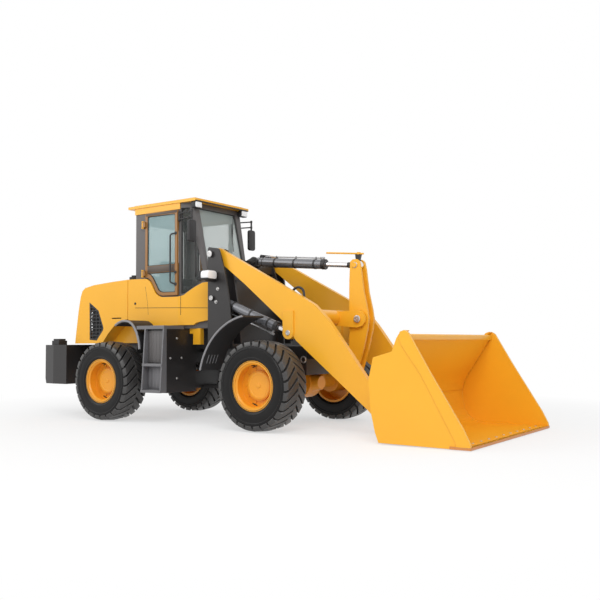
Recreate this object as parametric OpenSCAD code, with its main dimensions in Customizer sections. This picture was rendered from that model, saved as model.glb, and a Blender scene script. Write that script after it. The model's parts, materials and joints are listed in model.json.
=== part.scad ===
// Articulated wheel loader with a Z-bar lift arm and a general purpose bucket.
// Millimetres, +X forward to the bucket, +Y to the left, +Z up, ground at Z = 0.
// All x and z places are measured from the front axle line and the ground.

/* [Overall] */
// Front axle to rear axle
wheelbase = 2625; // [1969:1:3281]
// Articulation pivot behind the front axle
pivot_back = 1300; // [975:1:1625]

/* [Wheels] */
// Radius of the tyre over its lugs
tyre_r = 537.5; // [403.12:0.05:671.88]
// Width of the tyre
tyre_w = 390; // [292:1:488]
// Middle of a tyre from the centre line
track_half = 868; // [651:1:1085]
// Depth of the lugs
lug_deep = 30; // [22:1:38]
// Number of lugs on each side of the tread
lug_count = 26; // [20:1:32]
// Half the gap between the two rows of lugs
lug_mid = 9; // [7:1:11]
// Slant of a lug in degrees, from the middle to the shoulder
lug_slant = 14; // [10:1:18]
// Rim bead seat radius
bead_r = 282; // [212:1:352]
// Rim flange radius
flange_r = 297; // [223:1:371]
// Gap between the tyre's bore and the bead seat
bead_gap = 0.3; // [-0.70:0.05:1.30]
// Half the width between the flanges
flange_half = 165; // [124:1:206]
// Thickness of a flange
flange_t = 14; // [10:1:18]
// Thickness of the rim's barrel
rim_t = 14; // [10:1:18]
// Disc place outward of the tyre's middle
disc_out = 25; // [19:1:31]
// Thickness of the disc
disc_t = 16; // [12:1:20]
// Radius of the hub cover
hub_r = 175; // [131:1:219]
// Hub cover out from the disc
hub_h = 30; // [22:1:38]
// Radius of the spindle
spindle_r = 60; // [45:1:75]
// Running gap round the spindle
spindle_gap = 0.05; // [-0.95:0.05:1.05]
// End wall of the hub cover
hub_wall = 16; // [12:1:20]

/* [Axles] */
// Radius of an axle tube
axle_r = 92; // [69:1:115]
// Radius of the differential housing
diff_r = 190; // [142:1:238]
// Width of the differential housing
diff_w = 260; // [195:1:325]
// Cover of the differential, forward
diff_nose = 210; // [158:1:262]
// Radius of the hub end
hub_end_r = 150; // [112:1:188]
// Hub end starts this far from the centre line
hub_end_y = 600; // [450:1:750]
// Gap between the hub end and the turning disc
hub_gap = 6; // [4:1:8]
// Length of an axle seat along the axle
seat_len = 90; // [68:1:112]
// Width of an axle seat
seat_w = 220; // [165:1:275]
// Underside of the frame rails
rail_low_z = 650; // [488:1:812]

/* [Front frame] */
// Outer face of the frame's side plates
frame_half = 410; // [308:1:512]
// Thickness of the frame's side plates
frame_t = 32; // [24:1:40]
// Top of the front frame's box
front_box_z = 1000; // [750:1:1250]
// Rear face of the front frame's box, behind the axle
front_box_back = 1000; // [750:1:1250]
// Front face of the front frame's box
front_box_front = 330; // [248:1:412]
// Top, floor and bulkhead plates
plate_t = 30; // [22:1:38]
// Middle plane of an arm, a tower and a lift cylinder
arm_y = 545; // [409:1:681]
// Clear width between the plates of a tower
tower_gap = 140; // [105:1:175]
// Thickness of a tower plate
tower_t = 25; // [19:1:31]
// Height of the tower's top above the boom pin
tower_crown = 90; // [68:1:112]
// Front face of the cross plate between the towers
web_back = 735; // [551:1:919]
// Drop of the cross plate's top below the boom pin
web_drop = 340; // [255:1:425]
// Boom pivot behind the axle
boom_pin_back = 1000; // [750:1:1250]
// Boom pivot height
boom_pin_z = 2190; // [1642:1:2738]
// Radius of the boom pivot pin
boom_pin_r = 42; // [32:1:52]
// Running gap at a pin
pin_gap = 0.05; // [-0.95:0.05:1.05]
// Lift cylinder's base pin behind the axle
lift_base_back = 975; // [731:1:1219]
// Drop of the lift cylinder's base pin below the boom pin
lift_base_drop = 570; // [428:1:712]
// Radius of the lift cylinder's pins
lift_pin_r = 32; // [24:1:40]
// Cross beam of the towers behind the axle
beam_back = 900; // [675:1:1125]
// Drop of the cross beam below the boom pin
beam_drop = 130; // [98:1:162]
// Side of the cross beam
beam_s = 150; // [112:1:188]
// Tilt cylinder's base pin behind the axle
tilt_base_back = 760; // [570:1:950]
// Drop of the tilt cylinder's base pin below the boom pin
tilt_base_drop = 70; // [52:1:88]
// Radius of the tilt cylinder's pins
tilt_pin_r = 30; // [22:1:38]
// Hinge lug thickness at the articulation
lug_t = 46; // [34:1:58]
// Hinge lug radius
lug_r = 108; // [81:1:135]
// Hinge pin radius
lug_pin_r = 45; // [34:1:56]
// Underside of the lower rear lug
lug_low_z = 430; // [322:1:538]
// Top of the upper rear lug
lug_high_z = 960; // [720:1:1200]
// Gap between turning lugs
lug_gap = 5; // [4:1:6]
// Steering rod's pin behind the axle
steer_eye_back = 1075; // [806:1:1344]
// Steering rod's pin from the centre line
steer_eye_y = 345; // [259:1:431]
// Steering cylinder's base pin behind the axle
steer_base_back = 1760; // [1320:1:2200]
// Steering cylinder's base pin from the centre line
steer_base_y = 185; // [139:1:231]
// Height of the steering cylinders
steer_z = 720; // [540:1:900]
// Radius of the steering pins
steer_pin_r = 20; // [15:1:25]

// Lashing eye from the centre line
lash_y = 350; // [262:1:438]
// Lashing eye plate thickness
lash_t = 30; // [22:1:38]
// Lashing eye hole radius
lash_r = 24; // [18:1:30]
// Lashing eye's plate radius
lash_plate_r = 52; // [39:1:65]
// Lashing eye in front of the frame
lash_out = 125; // [94:1:156]
// Lashing eye height
lash_z = 895; // [671:1:1119]

/* [Boom] */
// Thickness of an arm
arm_t = 70; // [52:1:88]
// Bucket pin in front of the axle
bucket_pin_front = 1490; // [1118:1:1862]
// Bucket pin height
bucket_pin_z = 210; // [158:1:262]
// Bucket pin radius
bucket_pin_r = 40; // [30:1:50]
// Length of the bosses at an arm's ends
boss_w = 128; // [96:1:160]
// Radius of the upper boss
boss_r = 72; // [54:1:90]
// Radius of the lower boss
low_boss_r = 105; // [79:1:131]
// Cross tube in front of the axle
tube_front = 540; // [405:1:675]
// Cross tube radius
tube_r = 95; // [71:1:119]
// Bellcrank pivot in front of the axle
crank_pin_front = 880; // [660:1:1100]
// Bellcrank pin radius
crank_pin_r = 45; // [34:1:56]
// Ear of the cross tube, inner face from the centre line
crank_ear_y = 86; // [64:1:108]
// Ear thickness
crank_ear_t = 34; // [26:1:42]
// Radius of the ear's end
crank_ear_r = 105; // [79:1:131]
// Lift rod's pin in front of the axle
lift_eye_front = 190; // [142:1:238]
// Radius of the ears for the lift rod
lift_ear_r = 78; // [58:1:98]
// Thickness of an ear for the lift rod
lift_ear_t = 24; // [18:1:30]
// Clear width between the ears
lift_ear_gap = 60; // [45:1:75]

/* [Linkage] */
// Bellcrank plate, inner face from the centre line
crank_in_y = 46; // [34:1:58]
// Bellcrank plate thickness
crank_t = 30; // [22:1:38]
// Upper bellcrank pin in front of the axle
tilt_eye_front = 820; // [615:1:1025]
// Height of the tilt rod's pin above the bellcrank's pin
tilt_eye_up = 660; // [495:1:825]
// Lower bellcrank pin in front of the axle
link_eye_front = 745; // [559:1:931]
// Drop of the link's pin below the bellcrank's pin
link_eye_down = 695; // [521:1:869]
// Lower pin radius
link_pin_r = 34; // [26:1:42]
// Hub radius of the bellcrank
crank_hub_r = 82; // [62:1:102]
// Half width of the link
link_half = 40; // [30:1:50]
// Radius of the link's eyes
link_eye_r = 64; // [48:1:80]
// Height of the link's bar
link_bar_h = 92; // [69:1:115]
// Link pin of the bucket in front of the axle
dump_pin_front = 1545; // [1159:1:1931]
// Link pin of the bucket, height
dump_pin_z = 455; // [341:1:569]

/* [Cylinders] */
// Lift barrel radius
lift_barrel_r = 60; // [45:1:75]
// Lift rod radius
lift_rod_r = 27; // [20:1:34]
// Gland of the lift barrel from its base pin
lift_barrel_len = 1060; // [795:1:1325]
// Wall of a barrel
barrel_wall = 10; // [8:1:12]
// Running gap round a rod
rod_gap = 0.1; // [-0.90:0.05:1.10]
// Gland thickness
gland_t = 60; // [45:1:75]
// Width of a cylinder's eye
eye_w = 40; // [30:1:50]
// Lift eye radius
lift_eye_r = 55; // [41:1:69]
// Tilt barrel radius
tilt_barrel_r = 62; // [46:1:78]
// Tilt rod radius
tilt_rod_r = 32; // [24:1:40]
// Gland of the tilt barrel from its base pin
tilt_barrel_len = 1120; // [840:1:1400]
// Tilt eye half width
tilt_eye_half = 35; // [26:1:44]
// Tilt eye radius
tilt_eye_r = 62; // [46:1:78]
// Steering barrel radius
steer_barrel_r = 38; // [28:1:48]
// Steering rod radius
steer_rod_r = 18; // [14:1:22]
// Gland of the steering barrel from its base pin
steer_barrel_len = 470; // [352:1:588]
// Steering eye radius
steer_eye_r = 36; // [27:1:45]
// Steering eye height
steer_eye_h = 36; // [27:1:45]

/* [Gauge] */
// Width of the gauge's bracket
gauge_w = 34; // [26:1:42]
// Rise of the gauge's bracket over the eye
gauge_up = 100; // [75:1:125]
// Gauge rod radius
gauge_r = 11; // [8:1:14]
// Gauge rod length behind its bracket
gauge_len = 470; // [352:1:588]

/* [Bucket] */
// Width over the side plates
bucket_w = 2370; // [1778:1:2962]
// Lip in front of the axle
lip_front = 2745; // [2059:1:3431]
// Back of the bucket in front of the axle
bucket_back = 1630; // [1222:1:2038]
// Thickness of the shell
bucket_t = 20; // [15:1:25]
// Thickness of a side plate
side_t = 20; // [15:1:25]
// Thickness of the raised band
band_t = 10; // [8:1:12]
// Cutting edge, depth fore and aft
edge_d = 220; // [165:1:275]
// Cutting edge thickness
edge_t = 25; // [19:1:31]
// Height of the back's top edge between its corners
guard_z = 1124; // [843:1:1405]
// Width of a raised top corner
corner_w = 105; // [79:1:131]
// Hinge ear thickness
ear_t = 22; // [16:1:28]
// Gap beside a boss
ear_gap = 5; // [4:1:6]

/* [Rear frame] */
// Rear face of the rails behind the front axle
rail_rear = 3720; // [2790:1:4650]
// Front face of the rails behind the front axle
rail_front = 1620; // [1215:1:2025]
// Top of the rails
rail_top_z = 900; // [675:1:1125]
// Outer face of a rail
rail_y = 340; // [255:1:425]
// Thickness of a rail
rail_t = 40; // [30:1:50]
// Bulkhead over the hinge, top
bulkhead_z = 1200; // [900:1:1500]

/* [Counterweight] */
// Rear face behind the front axle
cw_rear = 4350; // [3262:1:5438]
// Half width
cw_half = 750; // [562:1:938]
// Underside
cw_low_z = 455; // [341:1:569]
// Top
cw_top_z = 1030; // [772:1:1288]
// Rear corner in plan
cw_corner = 90; // [68:1:112]
// Side taper towards the rear corner, length
cw_taper = 330; // [248:1:412]
// Lean of the rear face at the top
cw_lean = 70; // [52:1:88]
// Bevel at the lower rear edge
cw_bevel = 345; // [259:1:431]
// Radius of the tow pin's hole
tow_r = 21; // [16:1:26]
// Tow slot height
tow_slot = 120; // [90:1:150]
// Tow slot width
tow_slot_w = 260; // [195:1:325]
// Tow pin hole ahead of the rear face
tow_in = 170; // [128:1:212]

/* [Body] */
// Half width over the hood and the side panels
body_half = 580; // [435:1:725]
// Thickness of sheet panels
skin_t = 14; // [10:1:18]
// Hood's rear face behind the front axle
hood_rear = 3737; // [2803:1:4671]
// Hood's front face behind the front axle
hood_front = 2615; // [1961:1:3269]
// Hood's lower edge
hood_low_z = 1049; // [787:1:1311]
// Hood's crown at the cab
hood_top_z = 1944; // [1458:1:2430]
// Air intake behind the front axle
intake_back = 2740; // [2055:1:3425]
// Air intake from the centre line, to the right
intake_y = 330; // [248:1:412]
// Air intake radius
intake_r = 75; // [56:1:94]
// Air intake height
intake_h = 60; // [45:1:75]
// Seal under the air intake
intake_gap = 0.7; // [-0.30:0.05:1.70]
// Vent slot, rear end behind the front axle
vent_back = 2940; // [2205:1:3675]
// Vent slot length
vent_l = 200; // [150:1:250]
// Vent slot height place
vent_z = 1396; // [1047:1:1745]
// Vent slot height
vent_h = 16; // [12:1:20]
// Inner wall of the wheel arch from the centre line
liner_y = 360; // [270:1:450]
// Half width of the rear grille
rear_grille_half = 400; // [300:1:500]
// Rear grille's lower edge
rear_grille_z = 1250; // [938:1:1562]
// Rear grille's height
rear_grille_h = 270; // [202:1:338]
// Lean of the hood's rear face in degrees
rear_lean = 8.7; // [6.52:0.05:10.88]
// Bar of a grille
bar_t = 14; // [10:1:18]
// Pitch of a grille's bars
bar_pitch = 52; // [39:1:65]
// Rear face of the side panels behind the front axle
panel_rear = 2605; // [1954:1:3256]
// Front of the side panels behind the front axle
panel_front = 1150; // [862:1:1438]
// Side panels start to taper behind the front axle
panel_bend = 1640; // [1230:1:2050]
// Half width at the front of the side panels
panel_front_half = 440; // [330:1:550]
// Underside of the side panels
panel_low_z = 1280; // [960:1:1600]
// Top of the side panels
panel_top_z = 1944; // [1458:1:2430]

/* [Cab] */
// Cab mount, rear face behind the front axle
mount_back = 1470; // [1102:1:1838]
// Cab mount, front face behind the front axle
mount_front = 1340; // [1005:1:1675]
// Cab mount from the centre line
mount_y = 430; // [322:1:538]
// Cab mount width
mount_w = 70; // [52:1:88]
// Cab mount's lower end
mount_low_z = 1025; // [769:1:1281]
// Half width of the cab's walls
cab_half = 540; // [405:1:675]
// Half width at the front of the cab
cab_front_half = 415; // [311:1:519]
// Cab's rear wall behind the front axle
cab_rear = 2490; // [1868:1:3112]
// Cab's front behind the front axle, at the floor
cab_front = 1240; // [930:1:1550]
// Cab starts to taper behind the front axle
cab_bend = 1625; // [1219:1:2031]
// Underside of the cab
cab_low_z = 1240; // [930:1:1550]
// Top of the cab's walls
cab_top_z = 2940; // [2205:1:3675]
// Lean of the windscreen over the cab's height
screen_lean = 217; // [163:1:271]
// Wall and pillar thickness
cab_t = 45; // [34:1:56]
// Lower edge of the glass
glass_low_z = 1985; // [1489:1:2481]
// Width of a pillar
pillar_w = 70; // [52:1:88]
// Thickness of the glass
glass_t = 6; // [4:1:8]
// Roof, half width
roof_half = 565; // [424:1:706]
// Roof, rear edge behind the front axle
roof_rear = 2625; // [1969:1:3281]
// Roof, front edge behind the front axle
roof_front = 1346; // [1010:1:1682]
// Thickness of the roof's eave
eave_t = 36; // [27:1:45]
// Fascia under the eave, height
fascia_h = 86; // [64:1:108]
// Fascia's thickness
fascia_t = 12; // [9:1:15]
// Fascia's front end behind the front axle
fascia_front = 1635; // [1226:1:2044]
// Roof crown's inset
roof_inset = 60; // [45:1:75]
// Roof crown's height
roof_crown = 20; // [15:1:25]
// Door, rear edge behind the front axle
door_rear = 2272; // [1704:1:2840]
// Door thickness
door_t = 30; // [22:1:38]
// Gap between the door and what it shuts against
door_gap = 5; // [4:1:6]
// Frame width of the door
door_frame = 46; // [34:1:58]
// Front edge of the door behind the front axle
door_front = 1660; // [1245:1:2075]
// Height of the header above the door
cab_head = 90; // [68:1:112]
// Door's lower edge
door_low_z = 1690; // [1268:1:2112]
// Hinge axis behind the front axle
hinge_back = 2300; // [1725:1:2875]
// Hinge axis from the centre line
hinge_y = 592; // [444:1:740]
// Hinge pin radius
hinge_pin_r = 7; // [5:1:9]
// Hinge barrel radius
hinge_r = 15; // [11:1:19]
// Hinge barrel length
hinge_len = 70; // [52:1:88]
// Seat width
seat_width = 480; // [360:1:600]
// Seat place behind the front axle
seat_back = 2050; // [1538:1:2562]
// Seat cushion height
seat_z = 1720; // [1290:1:2150]
// Console width
console_w = 240; // [180:1:300]
// Steering column place behind the front axle
column_back = 1570; // [1178:1:1962]
// Steering wheel radius
wheel_r = 190; // [142:1:238]
// Steering wheel rim radius
wheel_rim_r = 16; // [12:1:20]
// Steering wheel height
wheel_z = 2010; // [1508:1:2512]

/* [Fenders and steps] */
// Outer radius of a front fender
front_fender_r = 845; // [634:1:1056]
// Outer edge of a rear fender from the centre line
rear_fender_y = 950; // [712:1:1188]
// Height that sets the rear fender's outline
rear_fender_z = 1358; // [1018:1:1698]
// Fender thickness
fender_t = 22; // [16:1:28]
// Outer edge of a fender from the centre line
fender_y = 1050; // [788:1:1312]
// Front of the tanks and steps behind the front axle
step_front = 1530; // [1148:1:1912]
// Rear of the tanks and steps behind the front axle
step_rear = 1885; // [1414:1:2356]
// Outer face of the tanks
tank_y = 900; // [675:1:1125]
// Outer face of the steps at the top
step_y = 950; // [712:1:1188]
// Outer face of the steps at the bottom
step_out = 1012; // [759:1:1265]
// Underside of the tanks and steps
step_low_z = 400; // [300:1:500]
// Top of the tanks
tank_top_z = 1230; // [922:1:1538]
// Platform thickness
platform_t = 45; // [34:1:56]
// Platform, rear end behind the front axle
platform_rear = 2035; // [1526:1:2544]
// Step rail thickness
step_t = 20; // [15:1:25]
// Tread height
tread_h = 32; // [24:1:40]
// How far a tread stands out of its rails
tread_nose = 8; // [6:1:10]
// Lower tread height
tread_low_z = 405; // [304:1:506]
// Upper tread height
tread_high_z = 745; // [559:1:931]

/* [Lamps and mirrors] */
// Head lamp behind the front axle
lamp_back = 960; // [720:1:1200]
// Head lamp from the centre line
lamp_y = 745; // [559:1:931]
// Head lamp height
lamp_z = 1905; // [1429:1:2381]
// Head lamp width
lamp_w = 190; // [142:1:238]
// Head lamp height of the lens
lamp_h = 125; // [94:1:156]
// Head lamp depth
lamp_d = 160; // [120:1:200]
// Head lamp corner radius
lamp_corner = 46; // [34:1:58]
// Bracket thickness
lamp_bracket_t = 14; // [10:1:18]
// Mirror behind the front axle
mirror_back = 1345; // [1009:1:1681]
// Mirror from the centre line
mirror_y = 629; // [472:1:786]
// Drop of the mirror's middle below the cab's top
mirror_drop = 415; // [311:1:519]
// Mirror width
mirror_w = 140; // [105:1:175]
// Mirror height
mirror_h = 295; // [221:1:369]
// Mirror depth
mirror_d = 46; // [34:1:58]
// Mirror arm's foot behind the front axle
mirror_foot = 1640; // [1230:1:2050]
// Drop of the lower mirror arm below the cab's top
mirror_low_drop = 225; // [169:1:281]
// Drop of the upper mirror arm below the cab's top
mirror_high_drop = 145; // [109:1:181]
// Mirror arm radius
mirror_arm_r = 9; // [7:1:11]
// Work lamp width
work_w = 130; // [98:1:162]
// Work lamp height
work_h = 90; // [68:1:112]
// Work lamp depth
work_d = 84; // [63:1:105]
// Work lamp's rear face behind the front axle
work_back = 1430; // [1072:1:1788]
// Work lamps from the centre line
work_y = 485; // [364:1:606]
// Tail lamp box, rear end behind the front axle
tail_back = 4100; // [3075:1:5125]
// Tail lamp box from the centre line
tail_y = 640; // [480:1:800]
// Tail lamp box width
tail_w = 150; // [112:1:188]
// Tail lamp box length
tail_l = 160; // [120:1:200]
// Tail lamp box height
tail_h = 90; // [68:1:112]

/* [Engine] */
// Engine block length
engine_l = 760; // [570:1:950]
// Engine block half width
engine_half = 330; // [248:1:412]
// Engine block height
engine_h = 640; // [480:1:800]
// Engine block front behind the front axle
engine_front = 2680; // [2010:1:3350]

/* [Hidden] */
$fn = 48;
front_axle_x = (cw_rear - lip_front) / 2;
tower_in_y = arm_y - tower_gap / 2;
tower_out_y = arm_y + tower_gap / 2;
axle_z = tyre_r;
tower_h = boom_pin_z + tower_crown;
boom_rise = boom_pin_z - bucket_pin_z;
lift_base_z = boom_pin_z - lift_base_drop;
beam_z = boom_pin_z - beam_drop;
tilt_base_z = boom_pin_z - tilt_base_drop;
tube_z = bucket_pin_z + boom_rise * 0.571;
crank_pin_z = bucket_pin_z + boom_rise * 0.561;
lift_eye_z = bucket_pin_z + boom_rise * 0.48;
tilt_eye_z = crank_pin_z + tilt_eye_up;
link_eye_z = crank_pin_z - link_eye_down;
crank_len = tilt_eye_up + link_eye_down;
door_len = door_rear - door_front;
door_h = cab_top_z - door_low_z - cab_head;
hinge_low_z = door_low_z + door_h * 0.276;
hinge_high_z = door_low_z + door_h * 0.862;
mirror_z = cab_top_z - mirror_drop;
mirror_low_z = cab_top_z - mirror_low_drop;
mirror_high_z = cab_top_z - mirror_high_drop;
lift_len = norm([lift_eye_front + lift_base_back, lift_eye_z - lift_base_z]);
lift_angle = atan2(lift_eye_z - lift_base_z, lift_eye_front + lift_base_back);
tilt_len = norm([tilt_eye_front + tilt_base_back, tilt_eye_z - tilt_base_z]);
tilt_angle = atan2(tilt_eye_z - tilt_base_z, tilt_eye_front + tilt_base_back);
link_len = norm([dump_pin_front - link_eye_front, dump_pin_z - link_eye_z]);
link_angle = atan2(dump_pin_z - link_eye_z, dump_pin_front - link_eye_front);
steer_len = norm([steer_base_back - steer_eye_back, steer_eye_y - steer_base_y]);
steer_angle = atan2(steer_eye_y - steer_base_y, steer_base_back - steer_eye_back);
tyre_side_shares = [
    [0.7295, 0.4228], [0.7682, 0.4228], [0.7795, 0.4641], [1.026, 0.5], [1.246, 0.4795]
];
tower_shares = [
    [-1.052, 0.007812], [-1.052, 0.9859], [-1.036, 1.002], [-0.89, 0.9828], [-0.868, 0.9719],
    [-0.832, 0.8953], [-0.756, 0.7078], [-0.675, 0.3563], [-0.64, 0.0625], [-0.64, 0.007812]
];
boom_shares = [
    [-0.03133, 1.013], [-0.02088, 1.03], [-0.004016, 1.038], [0.01606, 1.04], [0.03534, 1.038],
    [0.5538, 0.697], [0.6265, 0.6465], [0.6827, 0.5808], [0.7189, 0.5313], [0.9229, 0.1924],
    [0.9639, 0.1162], [1.028, 0.0404], [1.042, 0], [1.03, -0.03788], [1, -0.05303],
    [0.9639, -0.02525], [0.9161, 0.03333], [0.5221, 0.4303], [0.5068, 0.4545], [0.488, 0.5126],
    [0.4498, 0.5455], [0.2008, 0.798], [0.04016, 0.947], [0, 0.9444], [-0.03133, 0.9646]
];
crank_reach_share = 940 / 880;
crank_ear_shares = [
    [-0.4362, -0.07447], [-0.3617, -0.07979], [-0.02128, -0.1096], [0.06383, -0.09043],
    [0.1064, -0.03191], [0.1085, 0.02128], [0.07447, 0.08511], [0.02128, 0.1106],
    [-0.2766, 0.1064], [-0.3564, 0.1223], [-0.4362, 0.09574]
];
crank_shares = [
    [-0.09225, 0.5166], [-0.06642, 0.5387], [-0.02214, 0.5387], [0.00369, 0.5166],
    [0.01845, 0.4502], [0.04428, 0.2435], [0.08118, 0.08118], [0.09225, 0], [0.08118, -0.08856],
    [0.0369, -0.2657], [-0.0428, -0.5077], [-0.05904, -0.5461], [-0.09963, -0.5668],
    [-0.1402, -0.5498], [-0.1565, -0.5129], [-0.1535, -0.4649], [-0.1166, -0.2362],
    [-0.1048, -0.1033], [-0.1018, 0], [-0.107, 0.1181], [-0.1018, 0.3542]
];
lip_low_share = 8 / 1115;
bucket_side_shares = [
    [1.561, 0.01345], [1.525, 0.1076], [1.48, 0.3094], [1.462, 0.5848], [1.513, 0.7937],
    [1.709, 0.8475], [1.758, 0.9686], [1.798, 1.027], [1.841, 1.042], [1.883, 1.018],
    [2.081, 0.6816], [2.392, 0.1839], [2.453, 0.06278], [2.462, 0.007175], [2.332, 0.007175]
];
bucket_in_shares = [
    [2.475, 0.0296], [1.758, 0.0296], [1.677, 0.03946], [1.605, 0.06637], [1.55, 0.1112],
    [1.516, 0.1794], [1.496, 0.2691], [1.486, 0.3587], [1.484, 0.4484], [1.489, 0.5381],
    [1.5, 0.6278], [1.516, 0.7085], [1.539, 0.7731], [1.578, 0.7928], [1.65, 0.8099],
    [1.72, 0.8287], [1.78, 0.9614], [1.83, 1.02], [1.87, 1.056], [2.152, 1.06], [2.601, 0.5381],
    [2.601, 0.0296]
];
bucket_band_shares = [
    [1.841, 1.042], [1.883, 1.018], [2.081, 0.6816], [2.392, 0.1839], [2.453, 0.06278],
    [2.462, 0.007175], [2.332, 0.007175], [2.318, 0.07175], [2, 0.6457], [1.812, 0.9058],
    [1.785, 0.9731], [1.798, 1.027]
];
hood_shares = [
    [-3.331, 0.9349], [-3.304, 1.121], [-3.267, 1.359], [-3.226, 1.549], [-3.192, 1.626],
    [-3.135, 1.664], [-2.964, 1.694], [-2.619, 1.719], [-2.331, 1.733], [-2.331, 1.234],
    [-2.406, 1.225], [-2.546, 1.178], [-2.674, 1.07], [-2.799, 0.9349]
];
hood_slope_share = 15 / 324;
hood_in_shares = [
    [-3.338, 0.8021], [-3.291, 1.12], [-3.255, 1.357], [-3.214, 1.545], [-3.182, 1.617],
    [-3.131, 1.652], [-2.963, 1.682], [-2.619, 1.707], [-2.299, 1.721], [-2.299, 0.8021]
];
grille_shares = [
    [-3.05, 1.471], [-2.873, 1.359], [-2.776, 1.136], [-2.783, 1.102], [-2.903, 0.9706],
    [-3.041, 0.9804]
];
grille_in_shares = [
    [-3.027, 1.432], [-2.888, 1.342], [-2.799, 1.134], [-2.804, 1.111], [-2.912, 0.9929], [-3.02, 1]
];
arch_shares = [
    [-2.799, 0.9349], [-2.674, 1.07], [-2.546, 1.178], [-2.406, 1.225], [-2.333, 1.234],
    [-2.333, 1.247], [-2.408, 1.238], [-2.552, 1.19], [-2.682, 1.079], [-2.809, 0.9439]
];
arch_wall_shares = [
    [-2.799, 0.9349], [-2.674, 1.07], [-2.546, 1.178], [-2.406, 1.225], [-2.333, 1.234],
    [-2.333, 0.9349]
];
rear_fender_shares = [
    [-1.811, 0.9573], [-1.772, 0.9809], [-1.716, 0.9985], [-1.668, 1], [-1.613, 0.9926],
    [-1.566, 0.9683], [-1.528, 0.9293], [-1.501, 0.8873], [-1.479, 0.8321], [-1.463, 0.782],
    [-1.455, 0.7121], [-1.471, 0.7121], [-1.479, 0.7776], [-1.494, 0.8262], [-1.517, 0.88],
    [-1.543, 0.919], [-1.576, 0.9543], [-1.619, 0.9764], [-1.67, 0.9831], [-1.713, 0.9823],
    [-1.769, 0.9647], [-1.806, 0.9426]
];
panel_shares = [
    [-1.79, 0.9519], [-1.79, 1.336], [-1.562, 1.333], [-1.529, 1.326], [-1.488, 1.298],
    [-1.419, 1.188], [-1.375, 1.16], [-1.328, 1.148], [-1.127, 1.146], [-1.072, 1.158],
    [-1.024, 1.192], [-0.9553, 1.234], [-0.8866, 1.268], [-0.8247, 1.273], [-0.7698, 1.263],
    [-0.756, 0.9759], [-0.8351, 0.9244], [-0.9416, 0.9058], [-0.9759, 0.8832], [-1.54, 0.8797],
    [-1.704, 0.9003]
];
door_shares = [
    [0, 0.231], [0, 1], [0.9967, 0.9931], [1, 0], [0.5588, 0.001724], [0.4526, 0.01552],
    [0.3627, 0.04741], [0.1993, 0.1853], [0.09314, 0.2241]
];
door_glass_up_shares = [
    [0.0719, 0.3621], [0.0719, 0.9603], [0.9281, 0.9552], [0.9314, 0.3621]
];
door_glass_low_shares = [
    [0.0719, 0.2672], [0.0719, 0.2776], [0.9314, 0.2776], [0.9314, 0.03621], [0.567, 0.03793],
    [0.4771, 0.05], [0.4183, 0.07069], [0.2614, 0.2052], [0.1748, 0.2543], [0.1176, 0.2672]
];
quarter_shares = [
    [1.056, 0.01293], [1.056, 1.016], [1.253, 1.016], [1.569, 0.2543], [1.562, 0.1569],
    [1.425, 0.1121], [1.27, 0.06207], [1.163, 0.02155]
];
seat_side_shares = [
    [-4.792, 3.25], [-3.854, 3.25], [-3.792, 3.417], [-3.792, 3.521], [-3.854, 3.583],
    [-4.562, 3.542], [-4.667, 3.667], [-4.792, 4.646], [-4.875, 4.708], [-4.958, 4.646],
    [-4.938, 3.542]
];

// Slab along the centre line, in x and z
module slab(shares, unit, thickness) {
    rotate([90, 0, 0])
        linear_extrude(thickness, center = true)
            polygon(shares * unit);
}

// Outline from shares of a length and a height
function stretch(shares, x, long, z, high) = [for (s = shares) [x + s[0] * long, z + s[1] * high]];

// Upright sheet on the centre line with a given outline
module wall(outline, thickness) {
    rotate([90, 0, 0]) linear_extrude(thickness, center = true) polygon(outline);
}

// Puts children on both sides of the centre line
module both(y) {
    translate([0, y, 0]) children();
    translate([0, -y, 0]) children();
}

// Puts children on the left and their mirror image on the right
module twin() {
    children();
    mirror([0, 1, 0]) children();
}

// Round bar along y, centred
module bar_y(r, w) {
    rotate([90, 0, 0]) cylinder(r = r, h = w, center = true);
}

// Box from its low corner to its high corner
module span(a, b) {
    low = [min(a[0], b[0]), min(a[1], b[1]), min(a[2], b[2])];
    high = [max(a[0], b[0]), max(a[1], b[1]), max(a[2], b[2])];
    translate(low) cube(high - low);
}

module at_axle() {
    translate([front_axle_x, 0, 0]) children();
}

// Wheels
// Ring of points at one radius and one place across the tyre
function coarse_ring(r, y) = [for (i = [0 : lug_count - 1]) spot(r, (i + 0.5) * lug_pitch + lug_slant, y)];
function spot(r, a, y) = [r * sin(a), y, -r * cos(a)];
lug_pitch = 360 / lug_count;
lug_steps_shares = [0, 0.47, 0.53, 0.94];
// Ring along the lugs, high on each lug
function lug_ring(high, low, y, side, slant) = [
    for (i = [0 : 4 * lug_count - 1])
        spot(lug_up(i, side) ? high : low, lug_at(i) * lug_pitch + slant, y)
];
function lug_up(i, side) = side > 0 ? i % 4 < 2 : i % 4 > 1;
function lug_at(i) = floor(i / 4) + lug_steps_shares[i % 4];

tyre_side = tyre_side_shares * tyre_w;
shoulder_r = tyre_r - lug_deep * 0.4;
tyre_points = [
    for (k = [0 : 4]) each coarse_ring(tyre_side[k][0], -tyre_side[k][1]),
    each lug_ring(shoulder_r, shoulder_r - lug_deep, -tyre_w * 0.41, -1, lug_slant),
    each lug_ring(tyre_r, tyre_r - lug_deep, -lug_mid, -1, 0),
    each lug_ring(tyre_r, tyre_r - lug_deep, lug_mid, 1, 0),
    each lug_ring(shoulder_r, shoulder_r - lug_deep, tyre_w * 0.41, 1, lug_slant),
    for (k = [4 : -1 : 0]) each coarse_ring(tyre_side[k][0], tyre_side[k][1])
];
function row_start(k) = k < 5 ? k * lug_count : k < 9 ? 5 * lug_count + 4 * (k - 5) * lug_count :
    (5 + 16 + k - 9) * lug_count;
function row_size(k) = k < 5 || k > 8 ? lug_count : 4 * lug_count;
function row_at(k, i) = row_start(k) + (i + row_size(k)) % row_size(k);
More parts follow.
